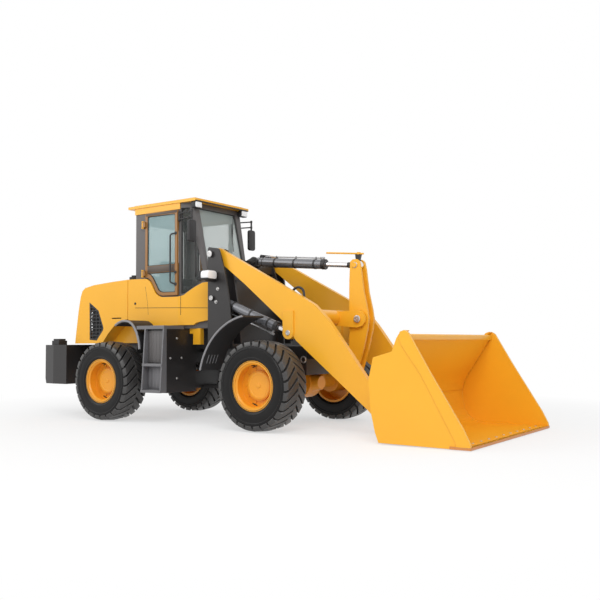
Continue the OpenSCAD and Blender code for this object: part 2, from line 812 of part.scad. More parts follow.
// Faces between two rings with the same number of points
function band(a, b) = [
    for (i = [0 : row_size(a) - 1]) each [
        [row_at(a, i), row_at(a, i + 1), row_at(b, i)],
        [row_at(a, i + 1), row_at(b, i + 1), row_at(b, i)]
    ]
];
// Faces between a side ring and the lug ring next to it
function fan(a, b, flip) = [
    for (i = [0 : lug_count - 1]) for (f = [
        [row_at(a, i), row_at(b, 4 * i + 1), row_at(b, 4 * i)],
        [row_at(a, i), row_at(b, 4 * i + 2), row_at(b, 4 * i + 1)],
        [row_at(a, i), row_at(b, 4 * i + 3), row_at(b, 4 * i + 2)],
        [row_at(a, i), row_at(a, i + 1), row_at(b, 4 * i + 3)],
        [row_at(a, i + 1), row_at(b, 4 * i + 4), row_at(b, 4 * i + 3)]
    ]) flip ? [f[0], f[2], f[1]] : f
];
tyre_faces = [
    each band(0, 1), each band(1, 2), each band(2, 3), each band(3, 4), each fan(4, 5, false),
    each band(5, 6), each band(6, 7), each band(7, 8), each fan(9, 8, true),
    each band(9, 10), each band(10, 11), each band(11, 12), each band(12, 13), each band(13, 0)
];

module tyre_ring() {
    polyhedron(tyre_points, tyre_faces);
}

module rim_ring() {
    rotate([-90, 0, 0]) difference() {
        union() {
            difference() {
                union() {
                    cylinder(r = bead_r, h = 2 * flange_half, center = true);
                    for (s = [-1, 1])
                        translate([0, 0, s * (flange_half + flange_t / 2)])
                            cylinder(r = flange_r, h = flange_t, center = true);
                }
                cylinder(r = bead_r - rim_t, h = 4 * flange_half, center = true);
            }
            translate([0, 0, disc_out - disc_t])
                cylinder(r = bead_r - rim_t / 2, h = disc_t);
            translate([0, 0, disc_out - disc_t / 2])
                cylinder(r = hub_r, h = hub_h + disc_t / 2);
        }
        translate([0, 0, disc_out - 2 * disc_t])
            cylinder(r = spindle_r + spindle_gap, h = hub_h + 2 * disc_t - hub_wall);
    }
}

module wheel_place(x, side) {
    at_axle() translate([x, side * track_half, axle_z])
        scale_side(side) children();
}

// Turns an outward-left piece to the right side
module scale_side(side) {
    rotate([0, 0, side > 0 ? 0 : 180]) children();
}

module tyre_front_right() { color("#1d1d1d") wheel_place(0, -1) tyre_ring(); }
module tyre_front_left() { color("#1d1d1d") wheel_place(0, 1) tyre_ring(); }
module tyre_rear_right() { color("#1d1d1d") wheel_place(-wheelbase, -1) tyre_ring(); }
module tyre_rear_left() { color("#1d1d1d") wheel_place(-wheelbase, 1) tyre_ring(); }
module rim_front_right() { color("#f0a020") wheel_place(0, -1) rim_ring(); }
module rim_front_left() { color("#f0a020") wheel_place(0, 1) rim_ring(); }
module rim_rear_right() { color("#f0a020") wheel_place(-wheelbase, -1) rim_ring(); }
module rim_rear_left() { color("#f0a020") wheel_place(-wheelbase, 1) rim_ring(); }

// Axle with its differential, hub ends, spindles and frame seats
module axle_body(nose) {
    hub_stop = track_half + disc_out - disc_t - hub_gap;
    spindle_end = track_half + disc_out + hub_h - hub_wall - hub_gap;
    translate([0, 0, axle_z]) {
        bar_y(axle_r, 2 * hub_end_y);
        bar_y(diff_r, diff_w);
        rotate([0, nose * 90, 0]) cylinder(r1 = diff_r * 0.8, r2 = diff_r * 0.45,
            h = diff_nose + diff_w / 4);
        for (s = [-1, 1]) {
            translate([0, s * (hub_end_y + hub_stop) / 2, 0]) bar_y(hub_end_r, hub_stop - hub_end_y);
            translate([0, s * (hub_end_y + spindle_end) / 2, 0]) bar_y(spindle_r, spindle_end - hub_end_y);
        }
    }
    both(rail_seat_y)
        span([-seat_w / 2, -seat_len / 2, axle_z], [seat_w / 2, seat_len / 2, rail_low_z]);
}
rail_seat_y = rail_y - rail_t / 2;

module front_axle() { color("#f0a020") at_axle() axle_body(1); }
module rear_axle() { color("#f0a020") at_axle() translate([-wheelbase, 0, 0]) axle_body(1); }

// Front frame
module tower_plate(y) {
    translate([0, y, 0])
        wall(stretch(tower_shares, 0, boom_pin_back, front_box_z, tower_h - front_box_z), tower_t);
}

module front_frame() {
    color("#3a3838") at_axle() difference() {
        union() {
            both(frame_half - frame_t / 2)
                span([-front_box_back, -frame_t / 2, rail_low_z],
                    [front_box_front, frame_t / 2, front_box_z]);
            both(rail_seat_y)
                span([-seat_w, -seat_len / 2, rail_low_z], [seat_w, seat_len / 2, front_box_z]);
            span([-front_box_back, -frame_half, front_box_z - plate_t],
                [front_box_front, frame_half, front_box_z]);
            span([front_box_front - plate_t, -frame_half, rail_low_z],
                [front_box_front, frame_half, front_box_z]);
            span([-front_box_back, -frame_half, lug_low_z],
                [plate_t - front_box_back, frame_half, front_box_z]);
            span([-front_box_back, -frame_half, lug_low_z], [-diff_w, frame_half, lug_low_z + plate_t]);
            both(frame_half - frame_t / 2)
                span([-front_box_back, -frame_t / 2, lug_low_z], [-diff_w, frame_t / 2, front_box_z]);
            twin() {
                tower_plate(tower_in_y - tower_t / 2);
                tower_plate(tower_out_y + tower_t / 2);
                span([-front_box_back, frame_half - frame_t, front_box_z - plate_t],
                    [-tower_foot, tower_out_y + tower_t, front_box_z + plate_t]);
                span([-front_box_back, tower_in_y - tower_t, front_box_z],
                    [plate_t - front_box_back, tower_out_y + tower_t, lift_base_z - lift_clear]);
                translate([-boom_pin_back, arm_y, boom_pin_z])
                    bar_y(boom_pin_r, tower_gap + 4 * tower_t);
                translate([-lift_base_back, arm_y, lift_base_z])
                    bar_y(lift_pin_r, tower_gap + 4 * tower_t);
                front_lug_steer();
            }
            span([-beam_back - beam_s / 2, -tower_in_y, beam_z - beam_s / 2],
                [-beam_back + beam_s / 2, tower_in_y, beam_z + beam_s / 2]);
            span([-front_box_back, -tower_in_y, front_box_z],
                [plate_t - front_box_back, tower_in_y, screen_bottom]);
            both(tilt_eye_half + ear_gap + tower_t / 2) tilt_clevis();
            translate([-tilt_base_back, 0, tilt_base_z])
                bar_y(tilt_pin_r, 2 * (tilt_eye_half + ear_gap + 1.5 * tower_t));
            both(lash_y) {
                translate([front_box_front + lash_out, 0, lash_z]) bar_y(lash_plate_r, lash_t);
                span([front_box_front - plate_t, -lash_t / 2, lash_z - lash_plate_r],
                    [front_box_front + lash_out, lash_t / 2, lash_z + lash_plate_r]);
            }
            hinge_lug(lug_low_z + lug_t + lug_gap, front_box_back);
            hinge_lug(lug_high_z - 2 * lug_t - lug_gap, front_box_back);
        }
        translate([-pivot_back, 0, 0])
            cylinder(r = lug_pin_r + pin_gap, h = 2 * front_box_z);
        translate([front_box_front + lash_out, 0, lash_z]) bar_y(lash_r, 4 * lash_y);
    }
}
tower_foot = boom_pin_back * 0.64;
lift_clear = 2.6 * lift_barrel_r;
screen_bottom = front_box_z * 1.3;

// Cross plate between the towers
module tower_web() {
    color("#3a3838") at_axle() span([-web_back - plate_t, tower_t - tower_in_y, front_box_z + plate_t],
        [-web_back, tower_in_y - tower_t, boom_pin_z - web_drop]);
}

// Flat lug from a bulkhead to the pivot
module hinge_lug(z, back) {
    translate([-pivot_back, 0, z]) cylinder(r = lug_r, h = lug_t);
    span([-pivot_back, -lug_r, z], [-back, lug_r, z + lug_t]);
}

// Ears for the steering rod's eye
module front_lug_steer() {
    for (z = [steer_z - steer_eye_h / 2 - ear_gap - ear_t, steer_z + steer_eye_h / 2 + ear_gap]) {
        span([-steer_eye_back, steer_eye_y - steer_eye_r, z],
            [-front_box_back, steer_eye_y + steer_eye_r, z + ear_t]);
        translate([-steer_eye_back, steer_eye_y, z]) cylinder(r = steer_eye_r, h = ear_t);
    }
}

// Cheek of the tilt cylinder's base clevis
module tilt_clevis() {
    rotate([90, 0, 0]) linear_extrude(tower_t, center = true) {
        translate([-tilt_base_back, tilt_base_z]) circle(r = tilt_eye_r * 1.1);
        polygon([
            [-beam_back, beam_z - beam_s / 2], [-tilt_base_back, tilt_base_z - tilt_eye_r * 1.1],
            [-tilt_base_back, tilt_base_z + tilt_eye_r * 1.1], [-beam_back, beam_z + beam_s / 2]
        ]);
    }
}

// Boom
module boom() {
    color("#f5a81e") at_axle() difference() {
        union() {
            both(arm_y) wall(stretch(boom_shares, -boom_pin_back, bucket_span, bucket_pin_z, boom_rise),
                arm_t);
            both(arm_y) translate([-boom_pin_back, 0, boom_pin_z]) bar_y(boss_r, boss_w);
            both(arm_y) translate([bucket_pin_front, 0, bucket_pin_z]) bar_y(low_boss_r, boss_w);
            both(arm_y) both((lift_ear_gap + lift_ear_t) / 2) lift_ear();
            translate([tube_front, 0, tube_z]) bar_y(tube_r, 2 * arm_y);
            both(crank_ear_y + crank_ear_t / 2) translate([crank_pin_front, 0, crank_pin_z])
                slab(crank_ear_shares, crank_reach, crank_ear_t);
            translate([crank_pin_front, 0, crank_pin_z])
                bar_y(crank_pin_r, 2 * (crank_ear_y + 1.5 * crank_ear_t));
        }
        both(arm_y) translate([-boom_pin_back, 0, boom_pin_z]) bar_y(boom_pin_r + pin_gap, 2 * boss_w);
        both(arm_y) translate([bucket_pin_front, 0, bucket_pin_z])
            bar_y(bucket_pin_r + pin_gap, 2 * boss_w);
        both(arm_y) translate([lift_eye_front, 0, lift_eye_z]) bar_y(lift_notch_r, lift_ear_gap);
    }
}
bucket_span = boom_pin_back + bucket_pin_front;
lift_notch_r = lift_ear_r * 3.15;
lift_ear_up = lift_ear_r * 3.4;
crank_reach = crank_pin_front * crank_reach_share;

// Plate on an arm's face that holds the lift rod's pin
module lift_ear() {
    rotate([90, 0, 0]) linear_extrude(lift_ear_t, center = true) {
        translate([lift_eye_front, lift_eye_z]) circle(r = lift_ear_r);
        polygon([
            [lift_eye_front - lift_ear_r, lift_eye_z],
            [lift_eye_front - lift_ear_r, lift_eye_z + lift_ear_up],
            [lift_eye_front + lift_ear_r, lift_eye_z + lift_ear_up],
            [lift_eye_front + lift_ear_r, lift_eye_z]
        ]);
    }
}

// Cylinders, drawn along x from the base pin at the origin
module barrel(r, rod_r, len, eye_r, eye_width, pin_r, neck) {
    difference() {
        union() {
            bar_y(eye_r, eye_width);
            translate([neck, 0, 0]) rotate([0, 90, 0]) cylinder(r = r, h = len - neck);
            translate([0, -eye_width / 2, -eye_r * 0.6]) cube([neck + barrel_wall, eye_width, eye_r * 1.2]);
        }
        bar_y(pin_r + pin_gap, 4 * r);
        translate([2 * eye_r, 0, 0]) rotate([0, 90, 0])
            cylinder(r = r - barrel_wall, h = len - 2 * eye_r - gland_t);
        translate([2 * eye_r, 0, 0]) rotate([0, 90, 0]) cylinder(r = rod_r + rod_gap, h = len);
    }
}

module rod(rod_r, start, len, eye_r, eye_width) {
    translate([start, 0, 0]) rotate([0, 90, 0]) cylinder(r = rod_r, h = len - start - eye_r * 0.5);
    translate([len, 0, 0]) bar_y(eye_r, eye_width);
}

module along(back, y, z, angle) {
    translate([-back, y, z]) rotate([0, -angle, 0]) children();
}

module lift_barrels() {
    color("#262626") at_axle() both(arm_y) along(lift_base_back, 0, lift_base_z, lift_angle)
        barrel(lift_barrel_r, lift_rod_r, lift_barrel_len, lift_eye_r, 2 * lift_barrel_r, lift_pin_r,
            lift_eye_r);
}

module lift_rods() {
    color("#c8c8c8") at_axle() both(arm_y) along(lift_base_back, 0, lift_base_z, lift_angle)
        rod(lift_rod_r, 3 * lift_eye_r, lift_len, lift_eye_r, eye_w);
}

module tilt_barrel() {
    color("#262626") at_axle() along(tilt_base_back, 0, tilt_base_z, tilt_angle)
        barrel(tilt_barrel_r, tilt_rod_r, tilt_barrel_len, tilt_eye_r, 2 * tilt_eye_half, tilt_pin_r,
            1.4 * tilt_eye_r);
}

module tilt_rod() {
    color("#c8c8c8") at_axle() along(tilt_base_back, 0, tilt_base_z, tilt_angle)
        rod(tilt_rod_r, tilt_barrel_len / 2 + 2 * gland_t, tilt_len, tilt_eye_r, 2 * tilt_eye_half);
}

// Level gauge that rides on the tilt rod
module bucket_gauge() {
    color("#f5a81e") at_axle() along(tilt_base_back, 0, tilt_base_z, tilt_angle) {
        translate([tilt_len - gauge_w / 2, -gauge_w / 2, tilt_eye_r]) cube([gauge_w, gauge_w, gauge_up]);
        translate([tilt_len - gauge_len, 0, tilt_eye_r + gauge_up - 1.6 * gauge_r])
            rotate([0, 90, 0]) cylinder(r = gauge_r, h = gauge_len + 2 * gauge_w);
    }
}

module steer_place(side) {
    at_axle() translate([-steer_base_back, side * steer_base_y, steer_z])
        rotate([0, 0, side * steer_angle]) rotate([90, 0, 0]) children();
}

module steer_barrel(side) {
    steer_place(side)
        barrel(steer_barrel_r, steer_rod_r, steer_barrel_len, steer_eye_r, steer_eye_h, steer_pin_r,
            1.8 * steer_eye_r);
}

module steer_rod(side) {
    steer_place(side) rod(steer_rod_r, steer_barrel_len / 2, steer_len, steer_eye_r, steer_eye_h);
}

module steer_barrel_right() { color("#262626") steer_barrel(-1); }
module steer_barrel_left() { color("#262626") steer_barrel(1); }
module steer_rod_right() { color("#c8c8c8") steer_rod(-1); }
module steer_rod_left() { color("#c8c8c8") steer_rod(1); }

// Bellcrank and link
module bellcrank() {
    color("#f5a81e") at_axle() difference() {
        union() {
            both(crank_in_y + crank_t / 2) translate([crank_pin_front, 0, crank_pin_z])
                slab(crank_shares, crank_len, crank_t);
            translate([crank_pin_front, 0, crank_pin_z]) bar_y(crank_hub_r, 2 * (crank_in_y + crank_t));
            both(crank_in_y + 1.2 * crank_t)
                translate([link_eye_front, 0, link_eye_z]) bar_y(link_pin_r, 0.8 * crank_t);
            both(crank_in_y + 1.2 * crank_t)
                translate([tilt_eye_front, 0, tilt_eye_z]) bar_y(tilt_pin_r, 0.8 * crank_t);
        }
        translate([crank_pin_front, 0, crank_pin_z])
            bar_y(crank_pin_r + pin_gap, 4 * crank_in_y + 4 * crank_t);
    }
}

module bucket_link() {
    color("#f5a81e") at_axle() translate([link_eye_front, 0, link_eye_z]) rotate([0, -link_angle, 0])
        difference() {
            union() {
                bar_y(link_eye_r, 2 * link_half);
                translate([link_len, 0, 0]) bar_y(link_eye_r, 2 * link_half);
                translate([0, -link_half, -link_bar_h / 2]) cube([link_len, 2 * link_half, link_bar_h]);
            }
            translate([link_len, 0, 0]) bar_y(link_pin_r + pin_gap, 4 * link_half);
        }
}

// Bucket
module bucket() {
    color("#f5a81e") at_axle() {
        difference() {
            slab(bucket_side_shares, bucket_deep, bucket_w - 2 * band_t);
            slab(bucket_in_shares, bucket_deep, bucket_w - 2 * band_t - 2 * side_t);
            span([lip_front - edge_d, -bucket_w, -edge_t],
                [lip_front + edge_d, bucket_w, edge_t + lip_low]);
            span([bucket_back, -bucket_w / 2 + corner_w, guard_z],
                [lip_front, bucket_w / 2 - corner_w, 2 * guard_z]);
        }
        both(bucket_w / 2 - band_t / 2) difference() {
            slab(bucket_band_shares, bucket_deep, band_t);
            span([lip_front - edge_d, -bucket_w, -edge_t],
                [lip_front + edge_d, bucket_w, edge_t + lip_low]);
        }
        for (s = [-1, 1])
            both(arm_y + s * (boss_w / 2 + ear_gap + ear_t / 2))
                bucket_ear(bucket_pin_front, bucket_pin_z, low_boss_r);
        both(arm_y) translate([bucket_pin_front, 0, bucket_pin_z])
            bar_y(bucket_pin_r, boss_w + 4 * ear_gap + 3 * ear_t);
        both(link_half + ear_gap + ear_t / 2) bucket_ear(dump_pin_front, dump_pin_z, link_eye_r);
        translate([dump_pin_front, 0, dump_pin_z]) bar_y(link_pin_r,
            2 * (link_half + ear_gap + 1.5 * ear_t));
    }
}
bucket_deep = lip_front - bucket_back;
lip_low = bucket_deep * lip_low_share;

module bucket_ear(x, z, r) {
    reach = bucket_back + 2 * bucket_t + side_t;
    rotate([90, 0, 0]) linear_extrude(ear_t, center = true) difference() {
        union() {
            translate([x, z]) circle(r = r);
            polygon([[x, z + r], [reach, z + 1.5 * r], [reach, z - r], [x, z - r]]);
        }
        polygon(bucket_in_shares * bucket_deep);
    }
}

module cutting_edge() {
    color("#c8922a") at_axle()
        span([lip_front - edge_d, -bucket_w / 2, lip_low], [lip_front, bucket_w / 2, edge_t + lip_low]);
}

// Rear frame
module rear_frame() {
    color("#2c2b2b") at_axle() difference() {
        union() {
            both(rail_y - rail_t / 2)
                span([-rail_rear, -rail_t / 2, rail_low_z], [-rail_front, rail_t / 2, rail_top_z]);
            span([-rail_rear, -rail_y, rail_low_z], [plate_t - rail_rear, rail_y, rail_top_z]);
            both(rail_seat_y)
                span([-wheelbase - seat_w, -seat_len / 2, rail_low_z],
                    [seat_w - wheelbase, seat_len / 2, rail_top_z]);
            span([-rail_front - plate_t, -rail_y, lug_low_z], [-rail_front, rail_y, bulkhead_z]);
            span([-rail_front - 4 * plate_t, -rail_y, bulkhead_z], [-rail_front, rail_y, cab_low_z]);
            span([-cab_rear, -rail_y, rail_top_z - plate_t], [-cab_rear + 3 * plate_t, rail_y, cab_low_z]);
            hinge_lug(lug_low_z, rail_front);
            hinge_lug(lug_high_z - lug_t, rail_front);
            translate([-pivot_back, 0, lug_low_z]) cylinder(r = lug_pin_r, h = 2 * lug_t + 3 * lug_gap);
            translate([-pivot_back, 0, lug_high_z - 2 * lug_t - 3 * lug_gap])
                cylinder(r = lug_pin_r, h = 2 * lug_t + 3 * lug_gap);
            twin() rear_lug_steer();
        }
        twin() span([-rail_front - 2 * plate_t, steer_window_in, steer_z - steer_window_h],
            [-rail_front + plate_t, rail_y - rail_t, steer_z + steer_window_h]);
    }
}

steer_window_in = lug_r + steer_eye_r / 2;
steer_window_h = steer_barrel_r * 1.5;

module rear_lug_steer() {
    for (z = [steer_z - steer_eye_h / 2 - ear_gap - ear_t, steer_z + steer_eye_h / 2 + ear_gap])
        span([-steer_base_back - steer_eye_r, steer_base_y - steer_eye_r, z],
            [-steer_base_back + steer_eye_r, rail_y - rail_t / 2, z + ear_t]);
    translate([-steer_base_back, steer_base_y, steer_z - steer_eye_h / 2 - ear_gap - ear_t])
        cylinder(r = steer_pin_r, h = steer_eye_h + 2 * ear_gap + 2 * ear_t);
}

module counterweight() {
    color("#262525") at_axle() difference() {
        intersection() {
            translate([0, 0, cw_low_z]) linear_extrude(cw_top_z - cw_low_z) cw_plan();
            rotate([90, 0, 0]) linear_extrude(4 * cw_half, center = true) polygon([
                [-cw_rear + cw_lean, cw_top_z], [-cw_rear, cw_low_z + cw_bevel],
                    [-cw_rear + cw_bevel / 3, cw_low_z],
                [-rail_rear, cw_low_z], [-rail_rear, cw_top_z]
            ]);
        }
        span([-cw_rear - tow_in, -tow_slot_w / 2, cw_low_z + tow_slot],
            [-cw_rear + 2 * tow_in, tow_slot_w / 2, cw_low_z + 2 * tow_slot]);
        translate([-cw_rear + tow_in, 0, cw_low_z - tow_slot])
            cylinder(r = tow_r, h = 2 * cw_top_z);
    }
}

module cw_plan() {
    for (s = [-1, 1]) polygon([
        [-rail_rear, -s * cw_corner], [-rail_rear, s * cw_half], [-cw_rear + cw_taper, s * cw_half],
        [-cw_rear + cw_corner, s * (cw_half - cw_corner / 2)],
        [-cw_rear + cw_corner / 4, s * (cw_half - 1.6 * cw_corner)],
        [-cw_rear, s * cw_half / 2], [-cw_rear, -s * cw_corner]
    ]);
}

module engine() {
    color("#4a4a4a") at_axle()
        span([-engine_front - engine_l, -engine_half, rail_top_z],
            [-engine_front, engine_half, rail_top_z + engine_h]);
}

// Air intake on the hood behind the cab
module air_cleaner() {
    color("#1e1e1e") at_axle() translate([-intake_back, -intake_y, intake_z]) {
        cylinder(r = intake_r, h = intake_h);
        cylinder(r = intake_r * 0.6, h = intake_h * 1.4);
    }
}
intake_z = hood_top_z + intake_gap - (intake_back - intake_r - hood_front) * hood_slope_share;

// Hood
module hood() {
    color("#f5a81e") at_axle() {
        difference() {
            slab(hood_shares, hood_len, 2 * body_half);
            slab(hood_in_shares, hood_len, 2 * body_half - 2 * skin_t);
            slab(grille_shares, hood_len, 4 * body_half);
            span([-hood_rear - skin_t, -rear_grille_half, rear_grille_z],
                [-hood_rear + 8 * skin_t, rear_grille_half, rear_grille_z + rear_grille_h]);
            span([-vent_back, -2 * body_half, vent_z],
                [-vent_back + vent_l, 2 * body_half, vent_z + vent_h]);
        }
        both((liner_y + body_half - skin_t / 2) / 2)
            slab(arch_shares, hood_len, body_half - skin_t / 2 - liner_y);
        both(liner_y + skin_t / 2) slab(arch_wall_shares, hood_len, skin_t);
        both((cab_half + body_half - skin_t) / 2)
            span([-hood_front - 3 * skin_t, -hood_tongue_w / 2, hood_top_z - hood_len * 0.4],
                [-panel_rear, hood_tongue_w / 2, hood_top_z - hood_len * 0.1]);
    }
}
hood_len = hood_rear - hood_front;
hood_tongue_w = body_half - skin_t - cab_half;

module hood_grilles() {
    color("#1c1c1c") at_axle() {
        both(body_half - skin_t / 2) {
            difference() {
                slab(grille_shares, hood_len, skin_t);
                slab(grille_in_shares, hood_len, 2 * skin_t);
            }
            intersection() {
                slab(grille_shares, hood_len, skin_t);
                union() {
                    for (i = [0 : 10])
                        translate([-hood_rear, -skin_t / 2, hood_low_z + bar_pitch + i * bar_pitch])
                            cube([hood_len, skin_t / 2, bar_t]);
                    for (i = [1 : 4])
                        translate([-grille_back + i * 1.4 * bar_pitch, -skin_t / 2, hood_low_z])
                            cube([bar_t, skin_t / 2, hood_len]);
                }
            }
        }
        translate([-rear_grille_back, 0, rear_grille_z]) rotate([0, rear_lean, 0]) {
            for (i = [0 : 4])
                span([0, -rear_grille_half, i * bar_pitch + bar_t],
                    [skin_t, rear_grille_half, i * bar_pitch + 2 * bar_t]);
            both(rear_grille_half - bar_t / 2)
                span([0, -bar_t / 2, bar_t / 2], [skin_t, bar_t / 2, rear_grille_h - bar_t / 2]);
        }
    }
}
grille_back = hood_front + hood_len * 0.72;
rear_grille_back = hood_rear - 2.2 * skin_t;

// Side panels round the foot of the cab
module panel_plan(half, front_half, bend, front) {
    polygon([
        [-panel_rear - cab_t, -half], [-panel_rear - cab_t, half], [-bend, half], [-front, front_half],
        [-front, -front_half], [-bend, -half]
    ]);
}

module side_panels() {
    color("#f5a81e") at_axle() intersection() {
        difference() {
            translate([0, 0, panel_low_z]) linear_extrude(panel_top_z - panel_low_z)
                panel_plan(body_half, panel_front_half, panel_bend, panel_front);
            linear_extrude(2 * panel_top_z) {
                panel_plan(cab_half, cab_front_half, cab_bend, cab_front);
                translate([-cab_front - pillar_w, -cab_front_half + pillar_w])
                    square([2 * pillar_w, 2 * cab_front_half - 2 * pillar_w]);
            }
        }
        slab(panel_shares, panel_len, 4 * body_half);
    }
    color("#f5a81e") at_axle() both(mount_y) {
        span([-mount_back, -mount_w / 2, mount_low_z], [-mount_front, mount_w / 2, cab_low_z]);
        span([-step_front, -mount_w / 2, cab_low_z - mount_w], [-mount_front, mount_w / 2, cab_low_z]);
    }
}
panel_len = panel_rear - panel_front;

// Cab
module cab_plan(inset) {
    slope = (cab_half - cab_front_half) / (cab_bend - cab_front);
    polygon([
        [-cab_rear + inset, -cab_half + inset], [-cab_rear + inset, cab_half - inset],
        [-cab_bend - inset * slope / 2, cab_half - inset], [-cab_front - inset, cab_front_half - inset],
        [-cab_front - inset, -cab_front_half + inset], [-cab_bend - inset * slope / 2, -cab_half + inset]
    ]);
}

// Cab outline seen from the side
module cab_side(inset, width) {
    rotate([90, 0, 0]) linear_extrude(width, center = true) polygon([
        [-cab_rear - cab_t, cab_low_z + inset], [-cab_rear - cab_t, cab_top_z - inset],
        [-cab_front - screen_lean - inset, cab_top_z - inset],
        [-cab_front - inset, glass_low_z - cab_t], [-cab_front - inset, cab_low_z + inset]
    ]);
}

module cab_block(inset) {
    intersection() {
        linear_extrude(2 * cab_top_z) cab_plan(inset);
        cab_side(inset, 4 * cab_half);
    }
}

module cab_shell() {
    color("#2b2b2b") at_axle() {
        difference() {
            cab_block(0);
            cab_block(cab_t);
            wall(door_outline(door_shares), 4 * cab_half);
            wall(door_outline(quarter_shares), 4 * cab_half);
            screen_box();
            rear_window_box(2 * cab_t);
        }
        twin() for (z = [hinge_low_z, hinge_high_z]) hinge_bracket(z);
    }
}
function door_outline(shares) = stretch(shares, -door_rear, door_len, door_low_z, door_h);

// Windscreen's opening
module screen_box() {
    span([-cab_front - screen_lean - 2 * cab_t, -cab_front_half + pillar_w / 2, glass_low_z],
        [cab_t - cab_front, cab_front_half - pillar_w / 2, cab_top_z - pillar_w]);
}

// Rear window's opening
module rear_window_box(depth) {
    span([-cab_rear - cab_t, -cab_half + pillar_w + cab_t, glass_low_z],
        [-cab_rear + depth, cab_half - pillar_w - cab_t, cab_top_z - 3 * pillar_w]);
}

module hinge_bracket(z) {
    for (s = [-1, 1])
        span([-hinge_back - hinge_r, cab_half - cab_t / 2,
            z + s * (hinge_len / 2 + hinge_t / 2 + hinge_side) - hinge_t / 2],
            [-hinge_back + hinge_r, hinge_y + hinge_r, z + s * (hinge_len / 2 + hinge_t / 2 + hinge_side)
                + hinge_t / 2]);
    translate([-hinge_back, hinge_y, z - hinge_len / 2 - hinge_side - hinge_t])
        cylinder(r = hinge_pin_r, h = hinge_len + 2 * hinge_side + 2 * hinge_t);
}
hinge_t = hinge_r * 0.8;
hinge_side = hinge_r * 0.1;

module cab_roof() {
    color("#f5a81e") at_axle() {
        span([-roof_rear, -roof_half, cab_top_z], [-roof_front, roof_half, cab_top_z + eave_t]);
        span([-roof_rear + roof_inset, -roof_half + roof_inset, cab_top_z],
            [-roof_front - roof_inset, roof_half - roof_inset, cab_top_z + eave_t + roof_crown]);
        both(cab_half + fascia_t / 2) span([-cab_rear - fascia_t, -fascia_t / 2, cab_top_z - fascia_h],
            [-fascia_front, fascia_t / 2, cab_top_z + eave_t]);
        span([-cab_rear - fascia_t, -cab_half - fascia_t, cab_top_z - fascia_h],
            [-cab_rear, cab_half + fascia_t, cab_top_z + eave_t]);
    }
}

module cab_glass() {
    color("#9fb8b8") at_axle() intersection() {
        difference() {
            cab_block(cab_t / 2);
            cab_block(cab_t / 2 + glass_t);
        }
        union() {
            screen_box();
            rear_window_box(2 * cab_t);
            wall(door_outline(quarter_shares), 4 * cab_half);
        }
    }
}

// Doors, drawn on the left
module door_leaf() {
    y = cab_half + door_gap;
    translate([0, y + door_t / 2, 0]) difference() {
        wall(door_outline(door_shares), door_t);
        wall(door_outline(door_glass_up_shares), 2 * door_t);
        wall(door_outline(door_glass_low_shares), 2 * door_t);
    }
    for (z = [hinge_low_z, hinge_high_z]) difference() {
        union() {
            translate([-hinge_back, hinge_y, z - hinge_len / 2]) cylinder(r = hinge_r, h = hinge_len);
            span([-hinge_back, y + door_t / 2, z - hinge_len / 2],
                [-door_rear + door_frame / 2, hinge_y + hinge_r, z + hinge_len / 2]);
        }
        translate([-hinge_back, hinge_y, z - hinge_len])
            cylinder(r = hinge_pin_r + pin_gap, h = 2 * hinge_len);
    }
}

module door_panes() {
    y = cab_half + door_gap + door_t / 2;
    translate([0, y, 0]) wall(door_outline(door_glass_up_shares), glass_t);
    translate([0, y, 0]) wall(door_outline(door_glass_low_shares), glass_t);
}

module door_left() { color("#c98a20") at_axle() door_leaf(); }
module door_right() { color("#c98a20") at_axle() mirror([0, 1, 0]) door_leaf(); }
module door_left_glass() { color("#9fb8b8") at_axle() door_panes(); }
module door_right_glass() { color("#9fb8b8") at_axle() mirror([0, 1, 0]) door_panes(); }

module seat() {
    color("#2a2a2a") at_axle() {
        slab(seat_side_shares, seat_width, seat_width);
        span([-seat_back - seat_width / 2, -seat_width / 3, cab_low_z + cab_t],
            [-seat_back + seat_width / 3, seat_width / 3, seat_foot]);
    }
}
seat_foot = seat_width * 3.25;

module operator_console() {
    color("#333333") at_axle() {
        span([-column_back, -console_w / 2, cab_low_z + cab_t],
            [-column_back + console_w, console_w / 2, glass_low_z - cab_t]);
        translate([-column_back, 0, wheel_z]) rotate([0, -25, 0]) {
            rotate_extrude() translate([wheel_r, 0]) circle(r = wheel_rim_r);
            cylinder(r = wheel_rim_r * 3, h = wheel_rim_r, center = true);
            for (a = [90, 210, 330]) rotate([0, 0, a]) translate([0, -wheel_rim_r, -wheel_rim_r / 2])
                cube([wheel_r, 2 * wheel_rim_r, wheel_rim_r]);
            translate([0, 0, -console_w]) cylinder(r = wheel_rim_r * 1.5, h = console_w);
        }
    }
}

// Fenders
module fender(r, inner_y, start, stop) {
    translate([0, (inner_y + fender_y) / 2, axle_z]) rotate([90, 0, 0])
        linear_extrude(fender_y - inner_y, center = true) difference() {
            intersection() {
                circle(r = r, $fn = 200);
                polygon([
                    [0, 0], [2 * r * cos(start), 2 * r * sin(start)],
                    [2 * r * cos((start + stop) / 2), 2 * r * sin((start + stop) / 2)],
                    [2 * r * cos(stop), 2 * r * sin(stop)]
                ]);
            }
            circle(r = r - fender_t, $fn = 200);
        }
}

module front_fenders() {
    color("#1e1e1e") at_axle() twin() fender(front_fender_r, tower_out_y + tower_t, 100, 168);
}

module rear_fenders() {
    color("#1e1e1e") at_axle() both((body_half + rear_fender_y) / 2)
        slab(rear_fender_shares, rear_fender_z, rear_fender_y - body_half);
}

module side_tanks() {
    color("#242424") at_axle() twin()
        span([-step_rear, rail_y, step_low_z], [-step_front, tank_y, tank_top_z]);
}

module steps() {
    color("#5a5a5a") at_axle() twin() {
        span([-platform_rear, body_half, tank_top_z], [-step_front, step_y, tank_top_z + platform_t]);
        for (x = [-step_rear, -step_front - step_t]) step_rail(x);
        for (z = [tread_low_z, tread_high_z])
            span([-step_rear, tank_y, z], [-step_front, step_edge(z) + tread_nose, z + tread_h]);
    }
}

